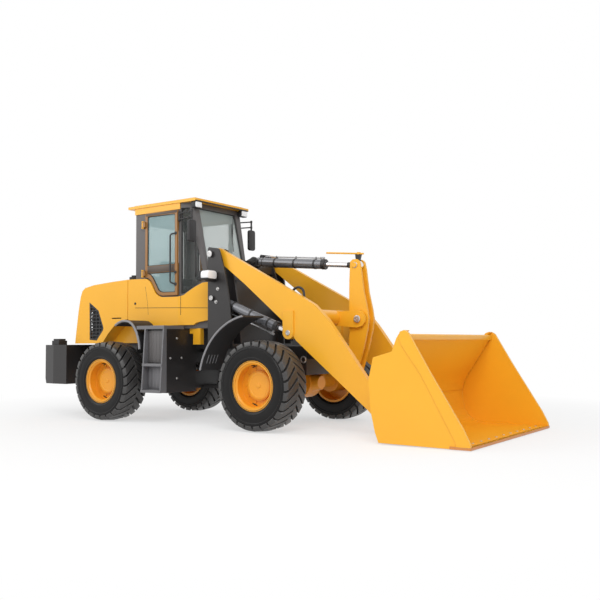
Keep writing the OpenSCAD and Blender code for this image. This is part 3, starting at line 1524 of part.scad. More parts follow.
// Outer edge of the leaning ladder at a height
function step_edge(z) = step_out + (step_y - step_out) * (z - tread_low_z) / (tank_top_z - tread_low_z);

module step_rail(x) {
    translate([x, 0, 0]) rotate([90, 0, 90]) linear_extrude(step_t) polygon([
        [tank_y, tread_low_z], [tank_y, tank_top_z], [step_y, tank_top_z], [step_out, tread_low_z]
    ]);
}

// Lamps and mirrors
module headlamps() {
    color("#d8d8d8") at_axle() twin() {
        translate([-lamp_back - lamp_d / 2, lamp_y, lamp_z]) rotate([90, 0, 90]) linear_extrude(lamp_d)
            lamp_face();
        span([-lamp_back - lamp_d / 4, tower_out_y + tower_t, lamp_z - lamp_h / 2 - lamp_bracket_t],
            [-lamp_back + lamp_d / 4, lamp_y, lamp_z - lamp_h / 2]);
    }
}

// Rounded face of a head lamp
module lamp_face() {
    square([lamp_w - 2 * lamp_corner, lamp_h], center = true);
    square([lamp_w, lamp_h - 2 * lamp_corner], center = true);
    for (x = [-1, 1], y = [-1, 1])
        translate([x * (lamp_w / 2 - lamp_corner), y * (lamp_h / 2 - lamp_corner)]) circle(r = lamp_corner);
}

module mirrors() {
    color("#1e1e1e") at_axle() twin() {
        span([-mirror_back - mirror_d / 2, mirror_y - mirror_w / 2, mirror_z - mirror_h / 2],
            [-mirror_back + mirror_d / 2, mirror_y + mirror_w / 2, mirror_z + mirror_h / 2]);
        tube([-mirror_back, mirror_y, mirror_z], [-mirror_back, mirror_y, mirror_high_z + 2 * mirror_arm_r],
            1.4 * mirror_arm_r);
        for (z = [mirror_low_z, mirror_high_z])
            tube([-mirror_foot, cab_half + 1.5 * mirror_arm_r, z], [-mirror_back, mirror_y, z],
                mirror_arm_r);
        span([-mirror_foot - 1.5 * mirror_arm_r, cab_half, mirror_low_z - 3 * mirror_arm_r],
            [-mirror_foot + 1.5 * mirror_arm_r, cab_half + 3 * mirror_arm_r,
                mirror_high_z + 3 * mirror_arm_r]);
    }
}

// Round bar from one point to another
module tube(a, b, r) {
    d = b - a;
    translate(a) rotate([0, acos(d[2] / norm(d)), atan2(d[1], d[0])]) cylinder(r = r, h = norm(d));
}

module work_lamps() {
    color("#d8d8d8") at_axle() both(work_y)
        span([-work_back, -work_w / 2, cab_top_z - work_h], [-work_back + work_d, work_w / 2, cab_top_z]);
}

module tail_lamps() {
    color("#1e1e1e") at_axle() both(tail_y)
        translate([-tail_back, 0, cw_top_z]) {
            span([0, -tail_w / 2, 0], [tail_l, tail_w / 2, tail_h * 0.7]);
            span([tail_l * 0.1, -tail_w * 0.4, 0], [tail_l * 0.9, tail_w * 0.4, tail_h]);
        }
}

rear_frame();
rear_axle();
counterweight();
engine();
air_cleaner();
hood();
hood_grilles();
side_panels();
cab_shell();
cab_roof();
cab_glass();
seat();
operator_console();
rear_fenders();
steps();
side_tanks();
mirrors();
work_lamps();
tail_lamps();
door_right();
door_right_glass();
door_left();
door_left_glass();
front_frame();
tower_web();
front_axle();
front_fenders();
headlamps();
boom();
lift_barrels();
lift_rods();
bellcrank();
tilt_barrel();
tilt_rod();
bucket_gauge();
bucket_link();
bucket();
cutting_edge();
steer_barrel_right();
steer_barrel_left();
steer_rod_right();
steer_rod_left();
tyre_front_right();
rim_front_right();
tyre_front_left();
rim_front_left();
tyre_rear_right();
rim_rear_right();
tyre_rear_left();
rim_rear_left();
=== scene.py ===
"""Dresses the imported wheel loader: finishes, fittings, camera and studio.

All sizes are in metres from the ground under the middle of the front axle, x to the front and z up.
"""
from __future__ import annotations

import json
import logging
import math
from dataclasses import dataclass
from enum import Enum
from typing import Any, Iterable, Optional, Sequence, Union

import bmesh
import bpy
from mathutils import Matrix, Vector

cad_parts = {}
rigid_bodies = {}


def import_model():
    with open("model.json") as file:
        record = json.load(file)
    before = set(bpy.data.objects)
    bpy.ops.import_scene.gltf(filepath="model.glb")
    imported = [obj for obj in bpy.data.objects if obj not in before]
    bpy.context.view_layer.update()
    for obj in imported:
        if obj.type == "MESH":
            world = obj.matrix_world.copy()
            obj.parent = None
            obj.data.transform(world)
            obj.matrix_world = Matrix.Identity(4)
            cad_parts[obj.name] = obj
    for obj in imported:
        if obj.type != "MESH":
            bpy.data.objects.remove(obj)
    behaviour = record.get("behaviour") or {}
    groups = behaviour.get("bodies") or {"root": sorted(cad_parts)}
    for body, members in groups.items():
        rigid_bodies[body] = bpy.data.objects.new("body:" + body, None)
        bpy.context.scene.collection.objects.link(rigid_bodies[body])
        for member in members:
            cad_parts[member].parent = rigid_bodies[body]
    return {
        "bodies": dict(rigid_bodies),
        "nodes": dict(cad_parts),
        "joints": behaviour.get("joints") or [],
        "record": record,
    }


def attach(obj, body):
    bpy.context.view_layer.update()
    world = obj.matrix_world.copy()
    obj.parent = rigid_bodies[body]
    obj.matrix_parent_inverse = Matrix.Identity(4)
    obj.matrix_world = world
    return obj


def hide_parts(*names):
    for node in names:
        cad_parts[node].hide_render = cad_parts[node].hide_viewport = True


LOG = logging.getLogger("loader")
RGB = tuple[float, float, float]
Pair = tuple[float, float]
Point = tuple[float, float, float]


class Axis(Enum):
    """The direction in which a plate is thick."""

    X = 0
    Y = 1
    Z = 2

    def place(self, u: float, v: float, w: float) -> Point:
        """Puts plate coordinates u, v and the depth w in space."""
        return {Axis.X: (w, u, v), Axis.Y: (u, w, v), Axis.Z: (u, v, w)}[self]


class Side(Enum):
    """The machine's two sides; the right one faces the camera."""

    RIGHT = -1
    LEFT = 1

    @property
    def word(self) -> str:
        """The side's name in lower case."""
        return self.name.lower()


class Shade:
    """One shader socket that can be used in sums."""

    def __init__(self, tree: bpy.types.NodeTree, socket: Union[bpy.types.NodeSocket, float]) -> None:
        """Keeps the node tree and the output socket."""
        self.tree = tree
        self.socket = socket

    def node(self, kind: str, settings: Optional[dict[str, Any]] = None,
             sockets: Optional[dict[Any, Any]] = None, out: Any = 0) -> "Shade":
        """Adds a node of any kind.

        Args:
            kind: Blender's node type.
            settings: attributes of the node.
            sockets: inputs by name or index; a Shade is linked, anything else is set.
            out: the output to return.

        Returns:
            The chosen output.
        """
        made = self.tree.nodes.new(kind)
        for key, value in (settings or {}).items():
            setattr(made, key, value)
        for key, value in (sockets or {}).items():
            if isinstance(value, Shade):
                self.tree.links.new(value.socket, made.inputs[key])
            else:
                made.inputs[key].default_value = value
        return Shade(self.tree, made.outputs[out])

    def math(self, operation: str, a: Any, b: Any = 0.0) -> "Shade":
        """One maths node on two values."""
        return self.node("ShaderNodeMath", {"operation": operation, "use_clamp": False}, {0: a, 1: b})

    def clamped(self) -> "Shade":
        """This value held between nought and one."""
        return self.node("ShaderNodeMath", {"operation": "ADD", "use_clamp": True}, {0: self, 1: 0.0})

    def mix(self, factor: Any, a: Any, b: Any) -> "Shade":
        """Blends two colours by a factor."""
        return self.node("ShaderNodeMix", {"data_type": "RGBA"}, {0: factor, 6: a, 7: b}, out=2)

    def ripple(self, coords: "Shade", axis: Axis, pitch: float) -> "Shade":
        """A wave from nought to one along an axis.

        Args:
            coords: the place on the surface.
            axis: the direction the wave runs in.
            pitch: the length of one wave.

        Returns:
            The wave's height.
        """
        along = self.node("ShaderNodeSeparateXYZ", sockets={0: coords}, out=axis.value)
        return 0.5 + 0.5 * self.math("SINE", along * (2.0 * math.pi / pitch))

    def __add__(self, other: Any) -> "Shade":
        """Sum."""
        return self.math("ADD", self, other)

    __radd__ = __add__

    def __mul__(self, other: Any) -> "Shade":
        """Product."""
        return self.math("MULTIPLY", self, other)

    __rmul__ = __mul__

    def __sub__(self, other: Any) -> "Shade":
        """Difference."""
        return self.math("SUBTRACT", self, other)

    def __rsub__(self, other: Any) -> "Shade":
        """Difference with the socket on the right."""
        return self.math("SUBTRACT", other, self)


@dataclass(frozen=True)
class Finish:
    """A surface with cloudy tone, fine grain, softened edges, and edges lightened partly by wear and partly by a
    painted highlight.
    """

    name: str
    color: RGB
    rough: float = 0.4
    metal: float = 0.0
    coat: float = 0.0
    alpha: float = 1.0
    vary: float = 0.06
    cloud_scale: float = 1.7
    grain: float = 0.06
    grain_scale: float = 60.0
    edge: float = 0.006
    # How far the edges are lightened and to what colour: partly wear, partly a painted highlight along the edges.
    edge_wear_and_sheen: float = 0.25
    edge_wear_and_sheen_color: RGB = (0.5, 0.5, 0.5)
    glow: float = 0.0
    shine: float = 0.5

    def rgba(self, color: RGB, level: float = 1.0) -> tuple[float, float, float, float]:
        """A colour at a level, as four numbers."""
        return (min(1.0, color[0] * level), min(1.0, color[1] * level), min(1.0, color[2] * level), 1.0)

    def tone(self, base: Shade, coords: Shade, fine: Shade) -> Shade:
        """The colour before rubbing, cloudy at the size of a panel.

        Args:
            base: the tree's socket maker.
            coords: the place on the surface.
            fine: the fine grain.

        Returns:
            The colour socket.
        """
        cloud = base.node("ShaderNodeTexNoise", sockets={"Vector": coords, "Scale": self.cloud_scale, "Detail": 4.0})
        spread = ((cloud - 0.5) * 1.8 + 0.5 + (fine - 0.5) * 0.3).clamped()
        return base.mix(spread, self.rgba(self.color, 1.0 - self.vary), self.rgba(self.color, 1.0 + self.vary))

    def relief(self, base: Shade, coords: Shade, fine: Shade) -> Shade:
        """The height that the bump reads."""
        return fine

    def opacity(self, base: Shade) -> Optional[Shade]:
        """The alpha where it changes over the surface."""
        return None

    def build(self) -> bpy.types.Material:
        """Makes the material.

        Returns:
            The new material.
        """
        mat = bpy.data.materials.new(self.name)
        mat.use_nodes = True
        tree = mat.node_tree
        bsdf = tree.nodes["Principled BSDF"]
        bsdf.inputs["Metallic"].default_value = self.metal
        bsdf.inputs["Coat Weight"].default_value = self.coat
        bsdf.inputs["Coat Roughness"].default_value = 0.08
        bsdf.inputs["Specular IOR Level"].default_value = self.shine
        bsdf.inputs["Alpha"].default_value = self.alpha
        base = Shade(tree, 0.0)
        coords = base.node("ShaderNodeTexCoord", out="Object")
        fine = base.node("ShaderNodeTexNoise", sockets={"Vector": coords, "Scale": self.grain_scale, "Detail": 5.0})
        tint = self.tone(base, coords, fine)
        rough = self.rough + (fine - 0.5) * 0.14
        bump_in: dict[Any, Any] = {"Strength": self.grain, "Distance": 0.002,
                                   "Height": self.relief(base, coords, fine)}
        if self.edge:
            soft = base.node("ShaderNodeBevel", {"samples": 4}, {"Radius": self.edge})
            true = base.node("ShaderNodeNewGeometry", out="Normal")
            meet = base.node("ShaderNodeVectorMath", {"operation": "DOT_PRODUCT"}, {0: soft, 1: true}, out="Value")
            patch = base.node("ShaderNodeTexNoise", sockets={"Vector": coords, "Scale": 9.0, "Detail": 3.0})
            # Lightens the colour along every edge by the bevel mask: partly wear, partly a painted highlight.
            wear_and_sheen = ((1.0 - meet) * 3.0 * patch).clamped() * self.edge_wear_and_sheen
            tint = base.mix(wear_and_sheen, tint, self.rgba(self.edge_wear_and_sheen_color))
            bump_in["Normal"] = soft
        bump = base.node("ShaderNodeBump", sockets=bump_in)
        tree.links.new(tint.socket, bsdf.inputs["Base Color"])
        tree.links.new(rough.socket, bsdf.inputs["Roughness"])
        tree.links.new(bump.socket, bsdf.inputs["Normal"])
        if self.glow:
            tree.links.new(tint.socket, bsdf.inputs["Emission Color"])
            bsdf.inputs["Emission Strength"].default_value = self.glow
        clear = self.opacity(base)
        if clear:
            tree.links.new(clear.socket, bsdf.inputs["Alpha"])
        return mat


@dataclass(frozen=True)
class Pane(Finish):
    """Window glass: nearly clear face on, shiny at a glance."""

    def opacity(self, base: Shade) -> Optional[Shade]:
        """Thin face on, thicker at a slant."""
        return (self.alpha + base.node("ShaderNodeFresnel", sockets={"IOR": 1.45}) * 0.6).clamped()


@dataclass(frozen=True)
class Ribbed(Finish):
    """A surface with fine ribs in one direction."""

    axis: Axis = Axis.Y
    pitch: float = 0.014

    def relief(self, base: Shade, coords: Shade, fine: Shade) -> Shade:
        """Ribs with a trace of grain."""
        return base.ripple(coords, self.axis, self.pitch) + fine * 0.1


@dataclass(frozen=True)
class Weave(Finish):
    """Woven seat cloth."""

    pitch: float = 0.005

    def relief(self, base: Shade, coords: Shade, fine: Shade) -> Shade:
        """Threads over and under each other."""
        over = base.ripple(coords, Axis.Y, self.pitch)
        under = base.ripple(coords, Axis.X, self.pitch) * base.ripple(coords, Axis.Z, self.pitch * 1.3)
        return over * 0.6 + under * 0.4 + fine * 0.2

    def tone(self, base: Shade, coords: Shade, fine: Shade) -> Shade:
        """Darker between the threads."""
        return base.mix(base.ripple(coords, Axis.Y, self.pitch) * 0.6 + fine * 0.3,
                        self.rgba(self.color, 0.7), self.rgba(self.color, 1.3))


@dataclass(frozen=True)
class Palette:
    """The finishes of the machine."""

    # The lighter edge colours below are partly wear and partly a painted highlight along the edges.
    body: Finish = Finish("yellow_gloss", (0.9, 0.44, 0.02), 0.36, coat=0.15, vary=0.03,
                          edge_wear_and_sheen=0.3, edge_wear_and_sheen_color=(0.98, 0.66, 0.18))
    rim: Finish = Finish("rim_gloss", (0.86, 0.37, 0.02), 0.4, coat=0.1, vary=0.04,
                         edge_wear_and_sheen=0.2, edge_wear_and_sheen_color=(0.95, 0.55, 0.12))
    black: Finish = Finish("black_satin", (0.017, 0.015, 0.015), 0.4, coat=0.1, vary=0.2,
                           edge_wear_and_sheen=0.35, edge_wear_and_sheen_color=(0.12, 0.115, 0.115))
    plastic: Finish = Finish("black_plastic", (0.02, 0.019, 0.02), 0.55, grain=0.2, grain_scale=180.0,
                             edge_wear_and_sheen=0.3, edge_wear_and_sheen_color=(0.13, 0.13, 0.135))
    grey: Finish = Finish("dark_grey", (0.11, 0.103, 0.102), 0.45, edge_wear_and_sheen=0.3, edge_wear_and_sheen_color=(0.25, 0.245, 0.25))
    # Step grey with strongly lightened, near-white edges: a painted highlight along the step rails and treads.
    step: Finish = Finish("step_grey", (0.16, 0.157, 0.165), 0.4, metal=0.2, edge_wear_and_sheen=0.55, edge_wear_and_sheen_color=(0.62, 0.62, 0.63))
    # Fender lips: lighter grey than the black fenders, partly a raised trim and partly a painted highlight along the
    # fender edges; the slits use it too.
    lip: Finish = Finish("fender_lip", (0.24, 0.238, 0.25), 0.35, edge_wear_and_sheen=0.4, edge_wear_and_sheen_color=(0.5, 0.5, 0.51))
    # Door frames: a dark ochre-brown instead of the body's yellow, painted shade on the frame.
    door: Finish = Finish("door_ochre", (0.3, 0.135, 0.03), 0.4, coat=0.2, edge_wear_and_sheen=0.3, edge_wear_and_sheen_color=(0.8, 0.42, 0.1))
    # Dark brown bars laid on the doors' top and middle frame bars: painted shade.
    trim: Finish = Finish("door_trim", (0.085, 0.062, 0.046), 0.45, edge_wear_and_sheen=0.2, edge_wear_and_sheen_color=(0.2, 0.16, 0.12))
    lens: Finish = Ribbed("lamp_lens", (0.86, 0.87, 0.88), 0.14, coat=0.6, grain=0.35, edge_wear_and_sheen=0.0, edge=0.0, glow=0.06)
    glass: Finish = Pane("window_glass", (0.6, 0.68, 0.66), 0.05, alpha=0.02, vary=0.0, edge_wear_and_sheen=0.0, edge=0.0, grain=0.0)
    door_glass: Finish = Pane("door_glass", (0.5, 0.69, 0.7), 0.05, alpha=0.08, vary=0.0, edge_wear_and_sheen=0.0, edge=0.0,
                              grain=0.0)
    seat: Finish = Weave("seat_cloth", (0.022, 0.022, 0.025), 0.88, grain=0.5, edge_wear_and_sheen=0.0, edge=0.0)
    iron: Finish = Finish("cast_iron", (0.09, 0.09, 0.09), 0.7, grain=0.3)
    chrome: Finish = Finish("chrome_rod", (0.78, 0.78, 0.79), 0.13, metal=1.0, vary=0.02, edge_wear_and_sheen=0.0, grain=0.02)
    edge: Finish = Finish("edge_steel", (0.62, 0.25, 0.07), 0.42, metal=0.2, vary=0.12,
                          edge_wear_and_sheen=0.5, edge_wear_and_sheen_color=(0.7, 0.5, 0.35))
    rubber: Finish = Finish("tyre_rubber", (0.009, 0.0085, 0.0085), 0.36, coat=0.03, grain=0.15, grain_scale=140.0,
                            vary=0.22, cloud_scale=5.0, edge_wear_and_sheen=0.6, edge_wear_and_sheen_color=(0.1, 0.097, 0.095), shine=0.2)
    # Lugs: a lighter copy of the tyre rubber with strongly lightened edges, a painted highlight on the lug tops and
    # shoulders.
    lug_painted_highlight: Finish = Finish("lug_rubber", (0.045, 0.043, 0.042), 0.4, coat=0.1, grain=0.25, grain_scale=110.0,
                         vary=0.25, cloud_scale=7.0, edge_wear_and_sheen=0.8, edge_wear_and_sheen_color=(0.26, 0.255, 0.25))
    zinc: Finish = Finish("zinc_bolt", (0.52, 0.51, 0.5), 0.32, metal=0.85, edge=0.002,
                          edge_wear_and_sheen=0.3, edge_wear_and_sheen_color=(0.8, 0.8, 0.8))
    gasket: Finish = Finish("gasket_rubber", (0.012, 0.012, 0.012), 0.65, grain=0.15, edge_wear_and_sheen=0.0, edge=0.0)
    lining: Finish = Finish("cab_lining", (0.13, 0.125, 0.118), 0.8, grain=0.3, grain_scale=220.0, edge_wear_and_sheen=0.1)
    mirror: Finish = Finish("mirror_glass", (0.75, 0.77, 0.78), 0.03, metal=1.0, vary=0.0, edge_wear_and_sheen=0.0, edge=0.0,
                            grain=0.0)
    red: Finish = Ribbed("red_lens", (0.45, 0.02, 0.02), 0.15, coat=0.5, grain=0.3, edge_wear_and_sheen=0.0, edge=0.0, pitch=0.009)
    amber: Finish = Ribbed("amber_lens", (0.75, 0.2, 0.01), 0.15, coat=0.5, grain=0.3, edge_wear_and_sheen=0.0, edge=0.0, pitch=0.009)
    core: Finish = Ribbed("radiator_core", (0.13, 0.13, 0.135), 0.5, metal=0.6, grain=0.8, edge_wear_and_sheen=0.0, edge=0.0,
                          axis=Axis.X, pitch=0.009)
    steel: Finish = Finish("pipe_steel", (0.42, 0.42, 0.43), 0.3, metal=0.7, edge_wear_and_sheen=0.3, edge_wear_and_sheen_color=(0.7, 0.7, 0.7))
    barrel: Finish = Finish("barrel_gloss", (0.16, 0.163, 0.178), 0.22, metal=0.35, coat=0.5, vary=0.1,
                            edge_wear_and_sheen=0.3, edge_wear_and_sheen_color=(0.3, 0.3, 0.31))

    def slots(self) -> dict[str, Finish]:
        """The finish of each material slot in the record."""
        return {
            "yellow_paint": self.body, "rim_paint": self.rim, "black_paint": self.black,
            "black_plastic": self.plastic, "grey_paint": self.grey, "step_paint": self.step,
            "door_paint": self.door, "lamp_lens": self.lens, "cab_window": self.glass, "seat_cover": self.seat,
            "engine_iron": self.iron, "rod_chrome": self.chrome, "edge_steel": self.edge, "tyre_rubber": self.rubber,
        }


class Site:
    """The loaded frame, its finishes and its place on the ground."""

    def __init__(self, frame: dict[str, Any]) -> None:
        """Keeps the frame and finds the front axle."""
        self.frame = frame
        self.palette = Palette()
        self.made: dict[str, bpy.types.Material] = {}
        self.joints = {j["name"]: Vector(j["pos_m"]) for j in frame["joints"] if "pos_m" in j}
        self.axle = self.joints["wheel_front_right_spin"].x

    def material(self, finish: Finish) -> bpy.types.Material:
        """The material of a finish, made once."""
        if finish.name not in self.made:
            self.made[finish.name] = finish.build()
        return self.made[finish.name]

    def joint(self, name: str) -> Vector:
        """A joint's place, from the front axle."""
        return self.joints[name] - Vector((self.axle, 0.0, 0.0))

    def dress_nodes(self) -> None:
        """Gives each carried-over solid its finish."""
        slots = self.palette.slots()
        special = {"lift_barrels": self.palette.barrel, "tilt_barrel": self.palette.barrel,
                   "door_right_glass": self.palette.door_glass, "door_left_glass": self.palette.door_glass}
        for part in self.frame["record"]["subparts"]:
            obj = self.frame["nodes"][part["node"]]
            obj.data.materials.clear()
            finish = special.get(part["node"], slots[part["material_slot"]])
            obj.data.materials.append(self.material(finish))
            LOG.info("dressed %s", part["node"])


def rounded_path(points: Sequence[Sequence[float]], radius: float, steps: int = 4,
                 loop: bool = False) -> list[Vector]:
    """Rounds the corners of a path.

    Args:
        points: the path's corners.
        radius: how far from a corner the curve starts.
        steps: pieces in each curve.
        loop: whether the last point joins the first.

    Returns:
        The finer path.
    """
    corners = [Vector(p) for p in points]
    out: list[Vector] = []
    for i, p in enumerate(corners):
        if not loop and i in (0, len(corners) - 1):
            out.append(p)
            continue
        a, b = corners[i - 1] - p, corners[(i + 1) % len(corners)] - p
        start = p + a.normalized() * min(radius, a.length * 0.45)
        end = p + b.normalized() * min(radius, b.length * 0.45)
        for s in range(steps + 1):
            t = s / steps
            out.append(start * (1 - t) ** 2 + p * 2 * t * (1 - t) + end * t ** 2)
    return out


def rounded_rect(width: float, height: float, radius: float, u: float = 0.0, v: float = 0.0,
                 steps: int = 4) -> list[Pair]:
    """A rectangle with round corners about u, v.

    Args:
        width: size along u.
        height: size along v.
        radius: corner radius.
        u: middle along u.
        v: middle along v.
        steps: pieces in each corner.

    Returns:
        The outline's points.
    """
    out = []
    for k, (su, sv) in enumerate(((1, 1), (-1, 1), (-1, -1), (1, -1))):
        for s in range(steps + 1):
            a = math.radians(90.0 * k + 90.0 * s / steps)
            out.append((u + su * (width / 2 - radius) + radius * math.cos(a),
                        v + sv * (height / 2 - radius) + radius * math.sin(a)))
    return out


def clipped(a: Pair, b: Pair, outline: Sequence[Pair]) -> Optional[tuple[Pair, Pair]]:
    """The stretch of a line that lies inside a convex outline.

    Args:
        a: the line's start.
        b: the line's end.
        outline: corners of the outline, either way round.

    Returns:
        The two ends, or nothing.
    """
    sides = list(zip(outline, [*outline[1:], outline[0]]))
    way = math.copysign(1, sum(p[0] * q[1] - q[0] * p[1] for p, q in sides))
    low, high = 0.0, 1.0
    for p, q in sides:
        inward = (-(q[1] - p[1]) * way, (q[0] - p[0]) * way)
        start = (a[0] - p[0]) * inward[0] + (a[1] - p[1]) * inward[1]
        slope = (b[0] - a[0]) * inward[0] + (b[1] - a[1]) * inward[1]
        if abs(slope) < 1e-12:
            if start < 0:
                return None
        elif slope > 0:
            low = max(low, -start / slope)
        else:
            high = min(high, -start / slope)
    if high - low < 0.02:
        return None

    def at(share: float) -> Pair:
        """The point at a share of the way."""
        return a[0] + (b[0] - a[0]) * share, a[1] + (b[1] - a[1]) * share

    return at(low), at(high)


class Form:
    """A mesh in the making."""

    def __init__(self, site: Site) -> None:
        """Starts empty."""
        self.site = site
        self.bm = bmesh.new()

    def take(self, part: bmesh.types.BMesh, edge: float = 0.0) -> "Form":
        """Adds a closed part, with its sharp edges rounded.

        Args:
            part: the new part, used up here.
            edge: width of the rounding.

        Returns:
            This form.
        """
        bmesh.ops.recalc_face_normals(part, faces=part.faces)
        if edge:
            sharp = [e for e in part.edges if len(e.link_faces) == 2 and e.calc_face_angle(0.0) > math.radians(30)]
            bmesh.ops.bevel(part, geom=sharp, offset=edge, segments=2, profile=0.5, affect="EDGES",
                            clamp_overlap=True)
        scrap = bpy.data.meshes.new("scrap")
        part.to_mesh(scrap)
        part.free()
        self.bm.from_mesh(scrap)
        bpy.data.meshes.remove(scrap)
        return self

    def plate(self, outline: Sequence[Pair], axis: Axis, low: float, high: float, edge: float = 0.0) -> "Form":
        """A plate of any outline.

        Args:
            outline: corners in the plate's plane.
            axis: the direction of its thickness.
            low: one face.
            high: the other face.
            edge: width of the rounding.

        Returns:
            This form.
        """
        part = bmesh.new()
        faces = [[part.verts.new(axis.place(u, v, w)) for u, v in outline] for w in (low, high)]
        part.faces.new(faces[0])
        part.faces.new(list(reversed(faces[1])))
        for i in range(len(outline)):
            j = (i + 1) % len(outline)
            part.faces.new((faces[0][i], faces[0][j], faces[1][j], faces[1][i]))
        return self.take(part, edge)

    def block(self, low: Point, high: Point, edge: float = 0.004) -> "Form":
        """A box with rounded edges."""
        outline = [(low[0], low[1]), (high[0], low[1]), (high[0], high[1]), (low[0], high[1])]
        return self.plate(outline, Axis.Z, low[2], high[2], edge)

    def skin(self, rings: Sequence[Sequence[Vector]], loop: bool = False, closed: bool = True) -> "Form":
        """A skin over rings of points.

        Args:
            rings: rings of equal length, or single points.
            loop: whether the last ring joins the first.
            closed: whether each ring is a closed line.

        Returns:
            This form.
        """
        part = bmesh.new()
        made = [[part.verts.new(p) for p in ring] for ring in rings]
        steps = max(len(r) for r in made)
        for a, b in list(zip(made, made[1:])) + ([(made[-1], made[0])] if loop else []):
            for i in range(steps if closed else steps - 1):
                j = (i + 1) % steps
                quad = [a[i % len(a)], a[j % len(a)], b[j % len(b)], b[i % len(b)]]
                corners = list(dict.fromkeys(quad))
                if len(corners) > 2:
                    part.faces.new(corners)
        if not loop and closed:
            for ring in (made[0], made[-1]):
                if len(ring) > 2:
                    part.faces.new(ring)
        return self.take(part)

    def turned(self, profile: Sequence[Pair], at: Sequence[float], direction: Sequence[float], steps: int = 24,
               loop: bool = False) -> "Form":
        """A turned part.

        Args:
            profile: radius and height along the axis.
            at: where height is nought.
            direction: the axis.
            steps: pieces round the axis.
            loop: whether the profile closes on itself.

        Returns:
            This form.
        """
        axis = Vector(direction).normalized()
        side = axis.orthogonal().normalized()
        other = axis.cross(side)
        rings = []
        for radius, height in profile:
            mid = Vector(at) + axis * height
            count = steps if radius > 1e-6 else 1
            turns = [2 * math.pi * i / count for i in range(count)]
            rings.append([mid + (side * math.cos(t) + other * math.sin(t)) * radius for t in turns])
        return self.skin(rings, loop)

    def tube(self, path: Sequence[Sequence[float]], radius: float, sides: int = 10, loop: bool = False) -> "Form":
        """A round bar along a path.

        Args:
            path: the points that it follows.
            radius: the bar's radius.
            sides: pieces round the bar.
            loop: whether the last point joins the first.

        Returns:
            This form.
        """
        pts = [Vector(p) for p in path]
        rings, normal = [], None
        for i, p in enumerate(pts):
            before = pts[i - 1] if i or loop else p
            after = pts[(i + 1) % len(pts)] if i < len(pts) - 1 or loop else p
            ahead = ((after - p).normalized() + (p - before).normalized()).normalized()
            normal = ahead.orthogonal() if normal is None else normal
            normal = (normal - ahead * normal.dot(ahead)).normalized()
            other = ahead.cross(normal)
            turns = [2 * math.pi * s / sides for s in range(sides)]
            rings.append([p + (normal * math.cos(t) + other * math.sin(t)) * radius for t in turns])
        return self.skin(rings, loop)

    def bolt(self, at: Sequence[float], direction: Sequence[float], across: float = 0.026) -> "Form":
        """A hexagon bolt head on its washer.

        Args:
            at: the seat of the head.
            direction: the way it points.
            across: size over the flats.

        Returns:
            This form.
        """
        r, h = across * 0.577, across * 0.55
        self.turned([(r * 1.35, -0.002), (r * 1.35, h * 0.2), (0, h * 0.2)], at, direction, 16)
        return self.turned([(r, 0), (r, h * 0.9), (r * 0.85, h * 1.1), (0, h * 1.1)], at, direction, 6)

    def pin(self, at: Sequence[float], direction: Sequence[float], radius: float = 0.03,
            high: float = 0.008) -> "Form":
        """A round pin head with a rim and a grease nipple.

        Args:
            at: the middle of the seat.
            direction: the way it points.
            radius: the head's radius.
            high: how far it stands proud.

        Returns:
            This form.
        """
        r = radius
        profile = [(r, -0.002), (r, high * 0.7), (r * 0.9, high), (r * 0.62, high), (r * 0.58, high * 0.6),
                   (0, high * 0.6)]
        self.turned(profile, at, direction, 28)
        nib = [(r * 0.16, 0), (r * 0.16, high * 0.8), (r * 0.1, high * 1.1), (0, high * 1.1)]
        return self.turned(nib, at, direction, 8)

    def mirrored(self) -> "Form":
        """Adds the same on the machine's other side."""
        whole = [*self.bm.verts, *self.bm.edges, *self.bm.faces]
        copy = bmesh.ops.duplicate(self.bm, geom=whole)["geom"]
        for item in copy:
            if isinstance(item, bmesh.types.BMVert):
                item.co.y = -item.co.y
        bmesh.ops.reverse_faces(self.bm, faces=[f for f in copy if isinstance(f, bmesh.types.BMFace)])
        return self

    def piece(self, name: str, body: str, finish: Finish, slot: Optional[str] = None, stands_for: Iterable[str] = (),
              angle: float = 35.0) -> bpy.types.Object:
        """Ends the form as an object on a body.

        Args:
            name: the piece's name.
            body: the body that carries it.
            finish: its finish.
            slot: the record's slot that it takes its finish from; not used.
            stands_for: solids that it stands for.
            angle: bends sharper than this stay sharp.

        Returns:
            The new object.
        """
        bmesh.ops.translate(self.bm, verts=self.bm.verts, vec=(self.site.axle, 0.0, 0.0))
        for face in self.bm.faces:
            face.smooth = True
        for edge in self.bm.edges:
            edge.smooth = len(edge.link_faces) == 2 and edge.calc_face_angle(0.0) < math.radians(angle)
        mesh = bpy.data.meshes.new(name)
        self.bm.to_mesh(mesh)
        self.bm.free()
        mesh.materials.append(self.site.material(finish))
        obj = bpy.data.objects.new(name, mesh)
        bpy.context.scene.collection.objects.link(obj)
        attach(obj, body)
        if stands_for:
            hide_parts(*stands_for)
        LOG.info("built %s on %s", name, body)
        return obj


